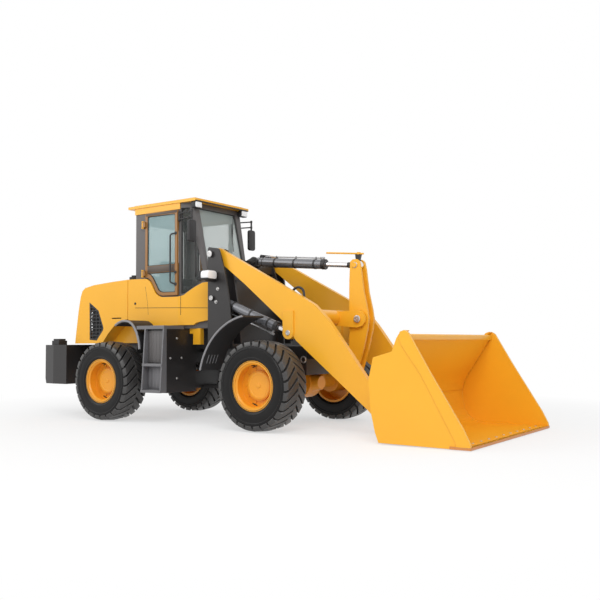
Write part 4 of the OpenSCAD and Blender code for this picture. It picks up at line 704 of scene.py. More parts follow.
def pane_rims(site: Site, node: str, inside: Point, least: float = 0.01) -> list[list[Vector]]:
    """Finds the outer outlines of the panes in a glass solid.

    Args:
        site: the loaded frame.
        node: the glass solid.
        inside: a point in the cab.
        least: the smallest face that counts, in square metres.

    Returns:
        One closed line for each pane, from the front axle.
    """
    mesh = site.frame["nodes"][node].data
    mesh.calc_loop_triangles()
    planes: dict[tuple[float, ...], list[tuple[Point, ...]]] = {}
    sizes: dict[tuple[float, ...], float] = {}
    middle = Vector(inside)
    for tri in mesh.loop_triangles:
        spots = [mesh.vertices[i].co - Vector((site.axle, 0.0, 0.0)) for i in tri.vertices]
        normal = tri.normal
        if normal.dot(spots[0] - middle) < 0:
            continue
        key = tuple(round(v, 2) for v in (*normal, normal.dot(spots[0])))
        planes.setdefault(key, []).append(tuple(tuple(round(c, 4) for c in s) for s in spots))
        sizes[key] = sizes.get(key, 0.0) + tri.area
    rims: list[list[Vector]] = []
    for key, triangles in planes.items():
        if sizes[key] < least:
            continue
        edges = {(t[i], t[(i + 1) % 3]) for t in triangles for i in range(3)}
        nexts = {a: b for a, b in edges if (b, a) not in edges}
        while nexts:
            start = next(iter(nexts))
            line, spot = [], start
            while spot in nexts:
                line.append(Vector(spot))
                spot = nexts.pop(spot)
            if len(line) > 2 and sum((p - q).length for p, q in zip(line, line[1:])) > 0.4:
                rims.append(line)
    return rims


@dataclass
class Wheels:
    """The four tyres with their lugs, and what shows on the rims."""

    lug_count: int = 26
    slant: float = 14.0
    steps: int = 104
    carcass: tuple[Pair, ...] = (
        (0.165, 0.2845), (0.165, 0.2996), (0.181, 0.304), (0.1885, 0.322), (0.1925, 0.328), (0.1925, 0.333),
        (0.1905, 0.337), (0.1945, 0.36), (0.195, 0.40), (0.193, 0.428), (0.1975, 0.434), (0.1975, 0.442),
        (0.191, 0.448), (0.187, 0.47), (0.181, 0.486), (0.17, 0.4945), (0.12, 0.4995), (0.06, 0.505), (0.0, 0.5075))
    lug_top: tuple[Pair, ...] = (
        (-0.004, 0.5375), (0.04, 0.5352), (0.08, 0.532), (0.12, 0.5288), (0.16, 0.5255), (0.18, 0.519),
        (0.1905, 0.5), (0.193, 0.47))
    lug_base: tuple[Pair, ...] = (
        (-0.004, 0.503), (0.04, 0.501), (0.08, 0.498), (0.12, 0.494), (0.155, 0.49), (0.168, 0.486),
        (0.172, 0.478), (0.178, 0.462))
    lug_edges: tuple[float, ...] = (0.415, 0.38, 0.355)
    lug_round: float = 0.006
    rows: tuple[Pair, ...] = ((1.0, 0.235), (-1.0, 0.735))
    disc_face: float = 0.025
    boss_face: float = 0.055
    cover: tuple[Pair, ...] = (
        (0.166, -0.002), (0.166, 0.004), (0.16, 0.008), (0.132, 0.008), (0.127, 0.004), (0.0, 0.005))
    cap: tuple[Pair, ...] = ((0.03, -0.002), (0.03, 0.009), (0.025, 0.012), (0.0, 0.012))
    lock_ring: tuple[Pair, ...] = (
        (0.2665, 0.172), (0.283, 0.1795), (0.279, 0.1802), (0.249, 0.152), (0.2465, 0.144), (0.2665, 0.128))
    bead: tuple[Pair, ...] = ((0.2858, -0.0005), (0.2858, 0.001), (0.2895, 0.001), (0.2895, -0.0005))
    bead_face: float = 0.179
    nuts: int = 10
    nut_r: float = 0.205
    slot_r: Pair = (0.247, 0.232)
    slot_turn: float = 0.35
    valve_turn: float = 160.0
    valve_r: float = 0.25
    names: tuple[str, ...] = ("front_right", "front_left", "rear_right", "rear_left")

    def spot(self, hub: Vector, turn: float, angle: float, y: float, r: float) -> Vector:
        """A point on the wheel; turn is 1 for a left wheel and -1 for a right one."""
        return hub + Vector((turn * r * math.sin(angle), turn * y, -r * math.cos(angle)))

    def tyre(self, site: Site, name: str) -> None:
        """Builds a tyre: the turned carcass and two staggered rows of slanted lugs.

        Args:
            site: the loaded frame.
            name: which wheel.
        """
        hub = site.joint("wheel_%s_spin" % name)
        turn = 1.0 if name.endswith("left") else -1.0
        form = Form(site)
        half = list(self.carcass)
        profile = half + [(-y, r) for y, r in reversed(half[:-1])]
        turns = [2 * math.pi * i / self.steps for i in range(self.steps)]
        form.skin([[self.spot(hub, turn, a, y, r) for a in turns] for y, r in profile], loop=True)
        form.piece("tyre_%s_dress" % name, "wheel_" + name, site.palette.rubber, "tyre_rubber",
                   ("tyre_" + name,), 28.0)
        form = Form(site)
        pitch = 2 * math.pi / self.lug_count
        foot, flank, top = self.lug_edges
        for side, phase in self.rows:
            for n in range(self.lug_count):
                rings = []
                for (top_y, top_r), (base_y, base_r) in zip(self.lug_top, self.lug_base):
                    lean = math.radians(self.slant) * (abs(top_y) - 0.009) / 0.151
                    mid = pitch * (n + phase) + lean
                    ring = []
                    low_r = top_r - self.lug_round
                    for share, y, r in ((-foot, base_y, base_r), (-flank, top_y, low_r), (-top, top_y, top_r),
                                        (top, top_y, top_r), (flank, top_y, low_r), (foot, base_y, base_r)):
                        ring.append(self.spot(hub, turn, mid + share * pitch, side * y, r))
                    rings.append(ring)
                form.skin(rings)
        # The lugs take the lighter rubber: a painted highlight on their tops.
        form.piece("lugs_%s" % name, "wheel_" + name, site.palette.lug_painted_highlight, "tyre_rubber", angle=28.0)

    def rim(self, site: Site, name: str) -> None:
        """Dresses a rim: hub cover, lock ring, nuts, dark plates of painted shade for the hand holes, bead seal and
        valve.

        Args:
            site: the loaded frame.
            name: which wheel.
        """
        hub = site.joint("wheel_%s_spin" % name)
        turn = 1.0 if name.endswith("left") else -1.0
        out = Vector((0.0, turn, 0.0))
        body = "wheel_" + name
        cover = Form(site)
        cover.turned(self.cover, hub + out * self.boss_face, out, 56)
        cover.turned(self.cap, hub + out * self.boss_face, out, 24)
        cover.turned(self.lock_ring, hub, out, 80, True)
        cover.piece("hub_cover_" + name, body, site.palette.rim, "rim_paint")
        nuts = Form(site)
        for i in range(self.nuts):
            a = 2 * math.pi * (i + 0.5) / self.nuts
            nuts.bolt(self.spot(hub, turn, a, self.disc_face, self.nut_r), out, 0.022)
        nuts.piece("wheel_nuts_" + name, body, site.palette.rim, "rim_paint")
        dark = Form(site)
        # The hand holes are thin dark plates on the disc face: painted shade where the openings would be.
        for mid in (-self.slot_turn, self.slot_turn, math.pi - self.slot_turn, math.pi + self.slot_turn):
            arc = [mid + math.radians(t) for t in (-9, -6, -3, 0, 3, 6, 9)]
            ring = [self.spot(hub, turn, a, self.disc_face, self.slot_r[0]) for a in arc]
            ring += [self.spot(hub, turn, a, self.disc_face, self.slot_r[1]) for a in reversed(arc)]
            dark.skin([[p - out * 0.001 for p in ring], [p + out * 0.0012 for p in ring]])
        dark.turned(self.bead, hub + out * self.bead_face, out, 72, True)
        valve = self.spot(hub, turn, math.radians(self.valve_turn), self.disc_face, self.valve_r)
        dark.tube([valve, valve + out * 0.03, valve + out * 0.055], 0.006, 8)
        dark.piece("rim_slots_" + name, body, site.palette.gasket)

    def build(self, site: Site) -> None:
        """Builds all four wheels."""
        for name in self.names:
            self.tyre(site, name)
            self.rim(site, name)


@dataclass(frozen=True)
class Ram:
    """A cylinder: base pin, rod pin, place across the machine, barrel and the stand-off of its feed pipe."""

    name: str
    base: Pair
    eye: Pair
    y: float
    radius: float
    reach: float
    above: bool
    off: float


@dataclass
class Linkage:
    """Pin heads, glands, pipes, gauge bracket and rod nut of the boom, bellcrank and cylinders."""

    boom_pin: Pair = (-1.0, 2.19)
    lift_base: Pair = (-0.975, 1.62)
    tilt_base: Pair = (-0.76, 2.12)
    lift_eye: Pair = (0.19, 1.1604)
    crank_pin: Pair = (0.88, 1.3208)
    tilt_eye: Pair = (0.82, 1.9808)
    link_eye: Pair = (0.745, 0.6258)
    dump_pin: Pair = (1.545, 0.455)
    bucket_pin: Pair = (1.49, 0.21)
    arm_y: float = 0.545
    pin_y: float = 0.665
    eye_half: float = 0.054
    fork_half: float = 0.107
    clamps: tuple[float, ...] = (0.3, 0.58, 0.86)
    rod_nut: tuple[Pair, ...] = ((0.02, -0.14), (0.036, -0.138), (0.036, -0.084), (0.02, -0.08))
    bracket: tuple[Pair, ...] = ((-0.04, 0.134), (0.036, 0.134), (0.021, 0.05), (-0.021, 0.05))
    bow: tuple[Point, ...] = ((0.13, -0.505, 1.56), (0.175, -0.46, 1.69), (0.25, -0.455, 1.722), (0.33, -0.46, 1.68),
                              (0.37, -0.505, 1.56))

    def pins(self, site: Site) -> None:
        """Puts a head on each end of each pin.

        Args:
            site: the loaded frame.
        """
        rows = (
            ("boom_pins", "front_chassis", ((self.boom_pin, self.pin_y, 1, 0.042),
                                            (self.lift_base, self.pin_y, 1, 0.032))),
            ("lift_eye_pins", "boom_body", ((self.lift_eye, self.arm_y + self.eye_half, 1, 0.032),
                                            (self.lift_eye, self.arm_y - self.eye_half, -1, 0.032),
                                            (self.crank_pin, 0.137, 1, 0.045))),
            ("crank_pins", "bellcrank_body", ((self.tilt_eye, 0.076, 1, 0.036), (self.link_eye, 0.076, 1, 0.034))),
            ("bucket_pins", "bucket_body", ((self.bucket_pin, self.arm_y + self.fork_half, 1, 0.04),
                                            (self.bucket_pin, self.arm_y - self.fork_half, -1, 0.04),
                                            (self.dump_pin, 0.078, 1, 0.034))),
        )
        for name, body, heads in rows:
            form = Form(site)
            for (x, z), y, way, radius in heads:
                form.pin((x, y, z), (0, way, 0), radius)
            form.mirrored().piece(name, body, site.palette.zinc)

    def fittings(self, site: Site) -> None:
        """Adds the gauge's bracket, the tilt rod's end and the bent pipe on the boom.

        Args:
            site: the loaded frame.
        """
        start, end = (Vector((x, 0, z)) for x, z in (self.tilt_base, self.tilt_eye))
        ahead = (end - start).normalized()
        up = Vector((-ahead.z, 0, ahead.x))
        spots = [end + ahead * a + up * b for a, b in self.bracket]
        bracket = Form(site).plate([(s.x, s.z) for s in spots], Axis.Y, -0.0195, 0.0195)
        bracket.piece("gauge_bracket", "tilt_rod_body", site.palette.black, "black_paint")
        tip = Form(site).turned(self.rod_nut, end, ahead, 32, True)
        tip.piece("tilt_rod_nut", "tilt_rod_body", site.palette.black, "black_paint")
        pipe = Form(site).tube(rounded_path(self.bow, 0.06, 6), 0.015, 12)
        pipe.piece("boom_pipe", "boom_body", site.palette.plastic, "black_plastic")

    def cylinder(self, site: Site, ram: Ram) -> None:
        """Dresses a cylinder: gland collar, weld band and a steel feed pipe in clamps.

        Args:
            site: the loaded frame.
            ram: the cylinder; one that is off the middle has a twin on the other side.
        """
        start, end = (Vector((x, ram.y, z)) for x, z in (ram.base, ram.eye))
        ahead = (end - start).normalized()
        up = Vector((0, 1, 0)).cross(ahead)
        up = up if (up.z > 0) == ram.above else -up
        r, off, reach = ram.radius, ram.off, ram.reach
        collar = Form(site)
        gland = [(r, 0), (r + 0.004, 0.002), (r + 0.004, 0.05), (r - 0.004, 0.056), (r - 0.02, 0.057),
                 (r - 0.02, 0.0)]
        collar.turned(gland, start + ahead * (reach - 0.052), ahead, 40, True)
        collar.turned([(r - 0.001, 0), (r + 0.003, 0.004), (r + 0.003, 0.012), (r - 0.001, 0.016)],
                      start + ahead * 0.125, ahead, 40)
        pipe = Form(site)
        line = start + up * (r + off)
        run = [start + ahead * 0.14 + up * (r - 0.01), line + ahead * 0.15, line + ahead * (reach - 0.05)]
        pipe.tube(rounded_path(run, 0.03), 0.009, 10)
        nut = [(0.015, -0.03), (0.015, 0.03), (0.011, 0.034), (0.0, 0.034)]
        pipe.turned(nut, line + ahead * (reach - 0.06), ahead, 6)
        port = [(0.014, 0.0), (0.014, off), (0.011, off + 0.012), (0.0, off + 0.012)]
        pipe.turned(port, start + ahead * (reach - 0.055) + up * (r - 0.004), up, 12)
        clamp = Form(site)
        band = [(r - 0.001, -0.012), (r + 0.0035, -0.012), (r + 0.0035, 0.012), (r - 0.001, 0.012)]
        for share in self.clamps:
            mid = start + ahead * (reach * share)
            clamp.turned(band, mid, ahead, 36, True)
            clamp.tube([mid + up * (r - 0.002), mid + up * (r + off)], 0.007, 8)
            clamp.bolt(mid + up * (r + off + 0.006), up, 0.014)
        for form, word, finish, slot in ((collar, "gland", site.palette.black, "black_paint"),
                                         (pipe, "pipe", site.palette.steel, None),
                                         (clamp, "clamps", site.palette.black, "black_paint")):
            if ram.y:
                form.mirrored()
            form.piece("%s_%s" % (ram.name, word), "%s_barrel_body" % ram.name, finish, slot)

    def build(self, site: Site) -> None:
        """Builds the pins and fittings and dresses the cylinders."""
        self.pins(site)
        self.fittings(site)
        self.cylinder(site, Ram("lift", self.lift_base, self.lift_eye, self.arm_y, 0.06, 1.06, False, 0.045))
        self.cylinder(site, Ram("tilt", self.tilt_base, self.tilt_eye, 0.0, 0.062, 1.12, True, 0.016))


@dataclass
class Shovel:
    """The bucket's smooth liner, top bar, lip plate and edge bolts."""

    bolt_x: float = 2.62
    bolt_z: float = 0.033
    half: float = 1.05
    count: int = 11
    liner: tuple[Pair, ...] = (
        (2.034, 1.068), (1.96, 0.957), (1.894, 0.852), (1.811, 0.73), (1.76, 0.66), (1.725, 0.607), (1.7, 0.562),
        (1.683, 0.52), (1.673, 0.48), (1.666, 0.44))
    liner_t: float = 0.005
    inside: float = 1.148
    bar: tuple[Pair, ...] = (
        (2.018, 1.06), (2.05, 1.06), (2.058, 1.072), (2.058, 1.112), (2.048, 1.1235), (2.018, 1.1235))
    lip: tuple[Pair, ...] = ((2.53, 0.03), (2.69, 0.03), (2.69, 0.0345), (2.53, 0.0355))
    lip_half: float = 1.16
    head: tuple[Pair, ...] = ((0.017, -0.002), (0.016, 0.003), (0.011, 0.006), (0.0, 0.007))

    def build(self, site: Site) -> None:
        """Builds the liner, the top bar, the lip plate and the bolts of the cutting edge.

        Args:
            site: the loaded frame.
        """
        behind = [(x - self.liner_t, z) for x, z in reversed(self.liner)]
        for name, outline, half, angle in (("bucket_liner", [*self.liner, *behind], self.inside, 40.0),
                                           ("bucket_top_bar", self.bar, self.inside, 35.0),
                                           ("lip_plate", self.lip, self.lip_half, 35.0)):
            plate = Form(site).plate(outline, Axis.Y, -half, half)
            plate.piece(name, "bucket_body", site.palette.body, "yellow_paint", angle=angle)
        form = Form(site)
        for i in range(self.count):
            y = -self.half + 2 * self.half * i / (self.count - 1)
            form.turned(self.head, (self.bolt_x, y, self.bolt_z), (0, 0, 1), 16)
        form.piece("edge_bolts", "bucket_body", site.palette.zinc)


@dataclass
class Engine:
    """Side grilles, radiator core, seams and locks of the engine hood."""

    grille: tuple[Pair, ...] = (
        (-3.396, 1.607), (-3.24, 1.506), (-3.141, 1.272), (-3.146, 1.246), (-3.267, 1.114), (-3.388, 1.122))
    mesh_y: float = 0.562
    core_y: float = 0.54
    pitch: float = 0.034
    skin_y: float = 0.58

    def lattice(self, site: Site) -> None:
        """Weaves the diamond mesh of the side grilles.

        Args:
            site: the loaded frame.
        """
        form = Form(site)
        low_x, high_x = min(p[0] for p in self.grille), max(p[0] for p in self.grille)
        low_z, high_z = min(p[1] for p in self.grille), max(p[1] for p in self.grille)
        reach = high_z - low_z
        steps = int((high_x - low_x + reach) / self.pitch) + 1
        for way in (1, -1):
            for i in range(-steps, 2 * steps):
                x = low_x + i * self.pitch
                ends = clipped((x, low_z), (x + way * reach * 0.8, high_z), self.grille)
                if ends:
                    form.tube([(u, -self.mesh_y - way * 0.001, v) for u, v in ends], 0.0042, 6)
        form.mirrored().piece("grille_mesh", "rear_chassis", site.palette.plastic, "black_plastic")
        core = Form(site)
        core.plate(self.grille, Axis.Y, -self.core_y - 0.002, -self.core_y + 0.006)
        core.mirrored().piece("radiator_core", "rear_chassis", site.palette.core)

    def seams(self, site: Site) -> None:
        """Lays the thin dark seams and the locks on the hood and panels.

        Args:
            site: the loaded frame.
        """
        form = Form(site)
        y = -self.skin_y

        def panel_y(x: float) -> float:
            """The side panel's outer face at a place along the machine."""
            return y if x < -1.64 else y + (x + 1.64) / 0.49 * 0.14

        crease = [(-2.46, 1.54), (-2.2, 1.533), (-1.9, 1.525), (-1.64, 1.518), (-1.4, 1.512), (-1.17, 1.506)]
        form.tube([(x, panel_y(x) + 0.0015, z) for x, z in crease], 0.004, 6)
        form.tube([(-1.6, panel_y(-1.6) + 0.0015, 1.42), (-1.6, panel_y(-1.6) + 0.0015, 1.68)], 0.004, 6)
        form.tube([(-2.2, y + 0.0015, 1.44), (-2.215, y + 0.0015, 1.6), (-2.26, y + 0.0015, 1.83)], 0.003, 6)
        form.turned([(0.018, -0.002), (0.018, 0.003), (0.014, 0.006), (0.0, 0.006)], (-2.458, y, 1.6), (0, -1, 0), 20)
        form.mirrored().piece("panel_seams", "rear_chassis", site.palette.gasket)

    def build(self, site: Site) -> None:
        """Builds the hood's dress."""
        self.lattice(site)
        self.seams(site)


@dataclass
class Cab:
    """Gaskets, lining, wiper and grab rails of the cab."""

    inside: Point = (-1.9, 0.0, 2.2)
    ceiling: float = 2.885
    rail: tuple[Point, ...] = ((-1.47, 0.475, 2.479), (-1.40, 0.5, 2.47), (-1.39, 0.5, 1.99), (-1.43, 0.46, 1.94))

    def gaskets(self, site: Site) -> None:
        """Runs a rubber seal round every pane.

        Args:
            site: the loaded frame.
        """
        for node, body in (("cab_glass", "rear_chassis"), ("door_right_glass", "door_right_body"),
                           ("door_left_glass", "door_left_body")):
            form = Form(site)
            for rim in pane_rims(site, node, self.inside):
                form.tube(rounded_path(rim, 0.03, 3, True), 0.009, 8, True)
            form.piece(node.replace("glass", "gasket"), body, site.palette.gasket)

    def lining(self, site: Site) -> None:
        """Builds the headliner, the dashboard and the rear trim.

        Args:
            site: the loaded frame.
        """
        form = Form(site)
        form.plate(rounded_rect(0.92, 0.9, 0.05, -1.93, 0.0), Axis.Z, self.ceiling - 0.012, self.ceiling, 0.004)
        form.piece("headliner", "rear_chassis", site.palette.lining)
        trim = Form(site)
        trim.block((-1.50, -0.4, 1.9), (-1.32, 0.4, 1.975), 0.02)
        trim.block((-1.47, -0.16, 1.965), (-1.38, 0.16, 2.05), 0.02)
        trim.block((-2.40, -0.48, 1.6), (-2.36, 0.48, 2.0), 0.01)
        trim.piece("dashboard", "rear_chassis", site.palette.plastic, "black_plastic")

    def wiper(self, site: Site) -> None:
        """Lays the wiper on the windscreen.

        Args:
            site: the loaded frame.
        """
        form = Form(site)
        out = Vector((0.975, 0.0, 0.22))
        top, low = Vector((-1.438, 0.318, 2.852)), Vector((-1.365, 0.204, 2.518))
        form.tube([top + out * 0.012, low + out * 0.02], 0.006, 8)
        blade = low + out * 0.014
        form.tube([blade + Vector((-0.035, 0.02, 0.2)), blade + Vector((0.04, -0.02, -0.2))], 0.005, 6)
        form.piece("wiper", "rear_chassis", site.palette.plastic, "black_plastic")

    def rails(self, site: Site) -> None:
        """Builds the grab rails on the front posts and the dark strip under the roof's front edge.

        Args:
            site: the loaded frame.
        """
        form = Form(site)
        form.tube(rounded_path(self.rail, 0.04), 0.009, 10)
        form.mirrored()
        form.block((-1.36, -0.556, 2.934), (-1.34, 0.556, 2.952), 0.004)
        form.piece("grab_rails", "rear_chassis", site.palette.plastic, "black_plastic")

    def build(self, site: Site) -> None:
        """Builds the cab's dress."""
        self.gaskets(site)
        self.lining(site)
        self.wiper(site)
        self.rails(site)


@dataclass
class Doors:
    """Long handles, locks, dark bars of painted shade on the frames, and hinges of the two doors."""

    path: tuple[Point, ...] = ((-1.69, 0.572, 2.53), (-1.755, 0.612, 2.515), (-1.755, 0.612, 1.86),
                               (-1.69, 0.572, 1.84))
    foot: tuple[Pair, ...] = ((0.024, -0.004), (0.024, 0.004), (0.018, 0.008), (0, 0.008))
    lock: tuple[Pair, ...] = ((0.02, -0.004), (0.02, 0.008), (0.016, 0.012), (0, 0.012))
    lock_at: Point = (-1.69, 0.575, 2.0)
    face_y: float = 0.574
    bar_t: float = 0.003
    bars: tuple[tuple[Pair, Pair], ...] = (((-2.262, 2.809), (-1.668, 2.842)), ((-2.224, 2.017), (-1.706, 2.105)))
    hinge: Pair = (-2.3, 0.592)
    hinges: tuple[float, ...] = (2.01, 2.69)

    def build(self, site: Site) -> None:
        """Builds each door's handle, lock, dark bars of painted shade and hinge sleeves, and the hinge caps on the
        cab.

        Args:
            site: the loaded frame.
        """
        for side in Side:
            way = side.value
            form = Form(site)
            form.tube(rounded_path([(x, way * y, z) for x, y, z in self.path], 0.03), 0.011, 10)
            lock_x, lock_y, lock_z = self.lock_at
            for x, _, z in (self.path[0], self.path[-1]):
                form.turned(self.foot, (x, way * lock_y, z), (0, way, 0), 18)
            form.turned(self.lock, (lock_x, way * lock_y, lock_z), (0, way, 0), 18)
            body = "door_%s_body" % side.word
            form.piece("door_handle_" + side.word, body, site.palette.plastic, "black_plastic")
            # Thin dark plates on the top and middle frame bars: painted shade.
            trim = Form(site)
            near, far = sorted((way * self.face_y, way * (self.face_y + self.bar_t)))
            for low, high in self.bars:
                trim.block((low[0], near, low[1]), (high[0], far, high[1]), 0.001)
            trim.piece("door_trim_" + side.word, body, site.palette.trim)
            sleeves = Form(site)
            for z in self.hinges:
                sleeves.turned([(0.0151, -0.034), (0.0175, -0.034), (0.0175, 0.034), (0.0151, 0.034)],
                               (self.hinge[0], way * self.hinge[1], z), (0, 0, 1), 24, True)
            sleeves.piece("hinge_sleeves_" + side.word, body, site.palette.body, "yellow_paint")
        caps = Form(site)
        for z in self.hinges:
            for end in (-1, 1):
                caps.turned([(0.0, -0.0075), (0.02, -0.0075), (0.02, 0.0075), (0.0, 0.0075)],
                            (self.hinge[0], self.hinge[1], z + end * 0.0435), (0, 0, 1), 24)
        caps.mirrored().piece("hinge_caps", "rear_chassis", site.palette.body, "yellow_paint")


@dataclass
class Mirrors:
    """Rounded mirror housings with their glass and tube arms."""

    x: float = -1.345
    y: float = 0.629
    z: float = 2.525
    width: float = 0.14
    height: float = 0.295
    depth: float = 0.046
    foot_x: float = -1.64
    cab_y: float = 0.54
    low_z: float = 2.715
    high_z: float = 2.795
    arm_r: float = 0.009

    def build(self, site: Site) -> None:
        """Builds both mirrors in place of their solids.

        Args:
            site: the loaded frame.
        """
        form = Form(site)
        outline = rounded_rect(self.width, self.height, 0.034, self.y, self.z)
        form.plate(outline, Axis.X, self.x - self.depth / 2, self.x + self.depth / 2, 0.014)
        form.tube([(self.x, self.y, self.z + 0.1), (self.x, self.y, self.high_z + 0.018)], 0.0126, 14)
        for z in (self.low_z, self.high_z):
            form.tube([(self.foot_x, self.cab_y + 0.013, z), (self.x, self.y, z)], self.arm_r, 12)
            form.turned([(0.016, -0.014), (0.016, 0.014)], (self.x, self.y, z), (0, 0, 1), 16)
        form.block((self.foot_x - 0.0135, self.cab_y, self.low_z - 0.027),
                   (self.foot_x + 0.0135, self.cab_y + 0.027, self.high_z + 0.027), 0.006)
        for z in (self.low_z - 0.012, self.high_z + 0.012):
            form.bolt((self.foot_x, self.cab_y + 0.027, z), (0, 1, 0), 0.01)
        form.mirrored().piece("mirror_housings", "rear_chassis", site.palette.plastic, "black_plastic", ("mirrors",))
        glass = Form(site)
        glass.plate(rounded_rect(self.width - 0.022, self.height - 0.022, 0.026, self.y, self.z), Axis.X,
                    self.x - self.depth / 2 - 0.0015, self.x - self.depth / 2 + 0.001)
        glass.mirrored().piece("mirror_panes", "rear_chassis", site.palette.mirror)


@dataclass
class Lamps:
    """Head, work and tail lamps."""

    head: Point = (-0.96, 0.745, 1.905)
    head_size: Point = (0.16, 0.19, 0.125)
    tower_y: float = 0.64
    work: Pair = (0.485, 2.895)
    tail_x: Pair = (-4.104, -4.098)
    tail_z: float = 1.062
    tail_y: Pair = (0.605, 0.675)

    def headlamps(self, site: Site) -> None:
        """Builds the headlamps in place of their solids: black shell, white lens, bracket.

        Args:
            site: the loaded frame.
        """
        x, y, z = self.head
        d, w, h = self.head_size
        shell = Form(site)
        shell.plate(rounded_rect(w * 0.99, h * 0.99, 0.045, y, z), Axis.X, x - d / 2, x - d * 0.3, 0.008)
        chin = [(y + w * a, z - h * b) for a, b in ((-0.46, 0.5), (0.46, 0.5), (0.5, 0.3), (-0.5, 0.3))]
        shell.plate(chin, Axis.X, x - d / 2, x + d * 0.49, 0.006)
        shell.block((x - d / 4, self.tower_y, z - h / 2 - 0.014), (x + d / 4, y, z - h / 2 + 0.002), 0.003)
        shell.block((x - 0.02, y - 0.03, z - h / 2 - 0.006), (x + 0.02, y + 0.03, z - h / 2 + 0.012), 0.003)
        shell.mirrored().piece("headlamp_shells", "front_chassis", site.palette.plastic, "black_plastic",
                               ("headlamps",))
        lens = Form(site)
        lens.plate(rounded_rect(w * 0.985, h * 0.97, 0.046, y, z + h * 0.01), Axis.X, x - d * 0.3, x + d / 2, 0.02)
        lens.mirrored().piece("headlamp_lenses", "front_chassis", site.palette.lens, "lamp_lens")

    def worklamps(self, site: Site) -> None:
        """Builds the lamps under the roof's front edge in place of their solids.

        Args:
            site: the loaded frame.
        """
        shell = Form(site)
        shell.plate(rounded_rect(0.13, 0.088, 0.012, *self.work), Axis.X, -1.43, -1.36, 0.006)
        shell.mirrored().piece("work_lamp_shells", "rear_chassis", site.palette.plastic, "black_plastic",
                               ("work_lamps",))
        lens = Form(site)
        lens.plate(rounded_rect(0.116, 0.074, 0.01, *self.work), Axis.X, -1.365, -1.346, 0.006)
        lens.mirrored().piece("work_lamp_lenses", "rear_chassis", site.palette.lens, "lamp_lens")

    def taillamps(self, site: Site) -> None:
        """Adds red and amber lenses on the tail lamps' rear faces.

        Args:
            site: the loaded frame.
        """
        kinds = (("tail_lenses", site.palette.red), ("turn_lenses", site.palette.amber))
        for y, (name, finish) in zip(self.tail_y, kinds):
            lens = Form(site).plate(rounded_rect(0.062, 0.046, 0.01, y, self.tail_z), Axis.X, *self.tail_x, 0.002)
            lens.mirrored().piece(name, "rear_chassis", finish)

    def build(self, site: Site) -> None:
        """Builds all lamps."""
        self.headlamps(site)
        self.worklamps(site)
        self.taillamps(site)


@dataclass
class Fenders:
    """Lips of all fenders, light grey strips that are partly trim and partly painted highlight, slits of the front
    ones, rings on the frame and bolts of the towers.
    """

    lip_r: float = 0.845
    lip_y: float = 1.05
    axle_z: float = 0.5375
    start: float = 100.0
    end: float = 168.0
    rear_y: float = 0.942
    rear_curve: tuple[Pair, ...] = (
        (-2.456, 1.29), (-2.404, 1.321), (-2.328, 1.345), (-2.2665, 1.3465), (-2.1945, 1.337), (-2.133, 1.3055),
        (-2.085, 1.255), (-2.049, 1.2), (-2.0187, 1.126), (-1.9976, 1.059), (-1.9868, 0.967))
    eye: Point = (0.283, 0.41, 0.835)
    slit_r: float = 0.8215
    slit_turns: tuple[float, ...] = (154.0, 156.0, 158.0, 160.0, 162.0)
    bolts: tuple[Pair, ...] = ((-0.883, 1.735), (-0.912, 1.569))

    def on_arc(self, radius: float, y: float, turns: Iterable[float]) -> list[Point]:
        """Points round the front axle at the given angles."""
        arc = [math.radians(t) for t in turns]
        return [(radius * math.cos(a), y, self.axle_z + radius * math.sin(a)) for a in arc]

    def build(self, site: Site) -> None:
        """Builds the lips, rings, slits and bolts.

        Args:
            site: the loaded frame.
        """
        # The lips are light grey tubes along the fender edges: partly trim, partly a painted highlight.
        lip = Form(site)
        arc = [self.start + (self.end - self.start) * i / 24 for i in range(25)]
        lip.tube(self.on_arc(self.lip_r - 0.011, self.lip_y - 0.004, arc), 0.0125, 10)
        lip.mirrored().piece("fender_lips", "front_chassis", site.palette.lip)
        rear = Form(site)
        rear.tube([(x, self.rear_y, z) for x, z in self.rear_curve], 0.0165, 12)
        rear.mirrored().piece("rear_fender_lips", "rear_chassis", site.palette.lip)
        eyes = Form(site)
        eyes.turned([(0.026, -0.002), (0.03, 0.009), (0.04, 0.009), (0.046, -0.002)], self.eye, (0, 1, 0), 32, True)
        eyes.mirrored().piece("frame_eyes", "front_chassis", site.palette.zinc)
        slits = Form(site)
        for i in range(4):
            slits.tube(self.on_arc(self.slit_r, 0.8 + 0.055 * i, self.slit_turns), 0.004, 6)
        slits.mirrored().piece("fender_slits", "front_chassis", site.palette.lip)
        bolts = Form(site)
        for x, z in self.bolts:
            bolts.bolt((x, 0.64, z), (0, 1, 0), 0.03)
        bolts.mirrored().piece("tower_bolts", "front_chassis", site.palette.zinc)


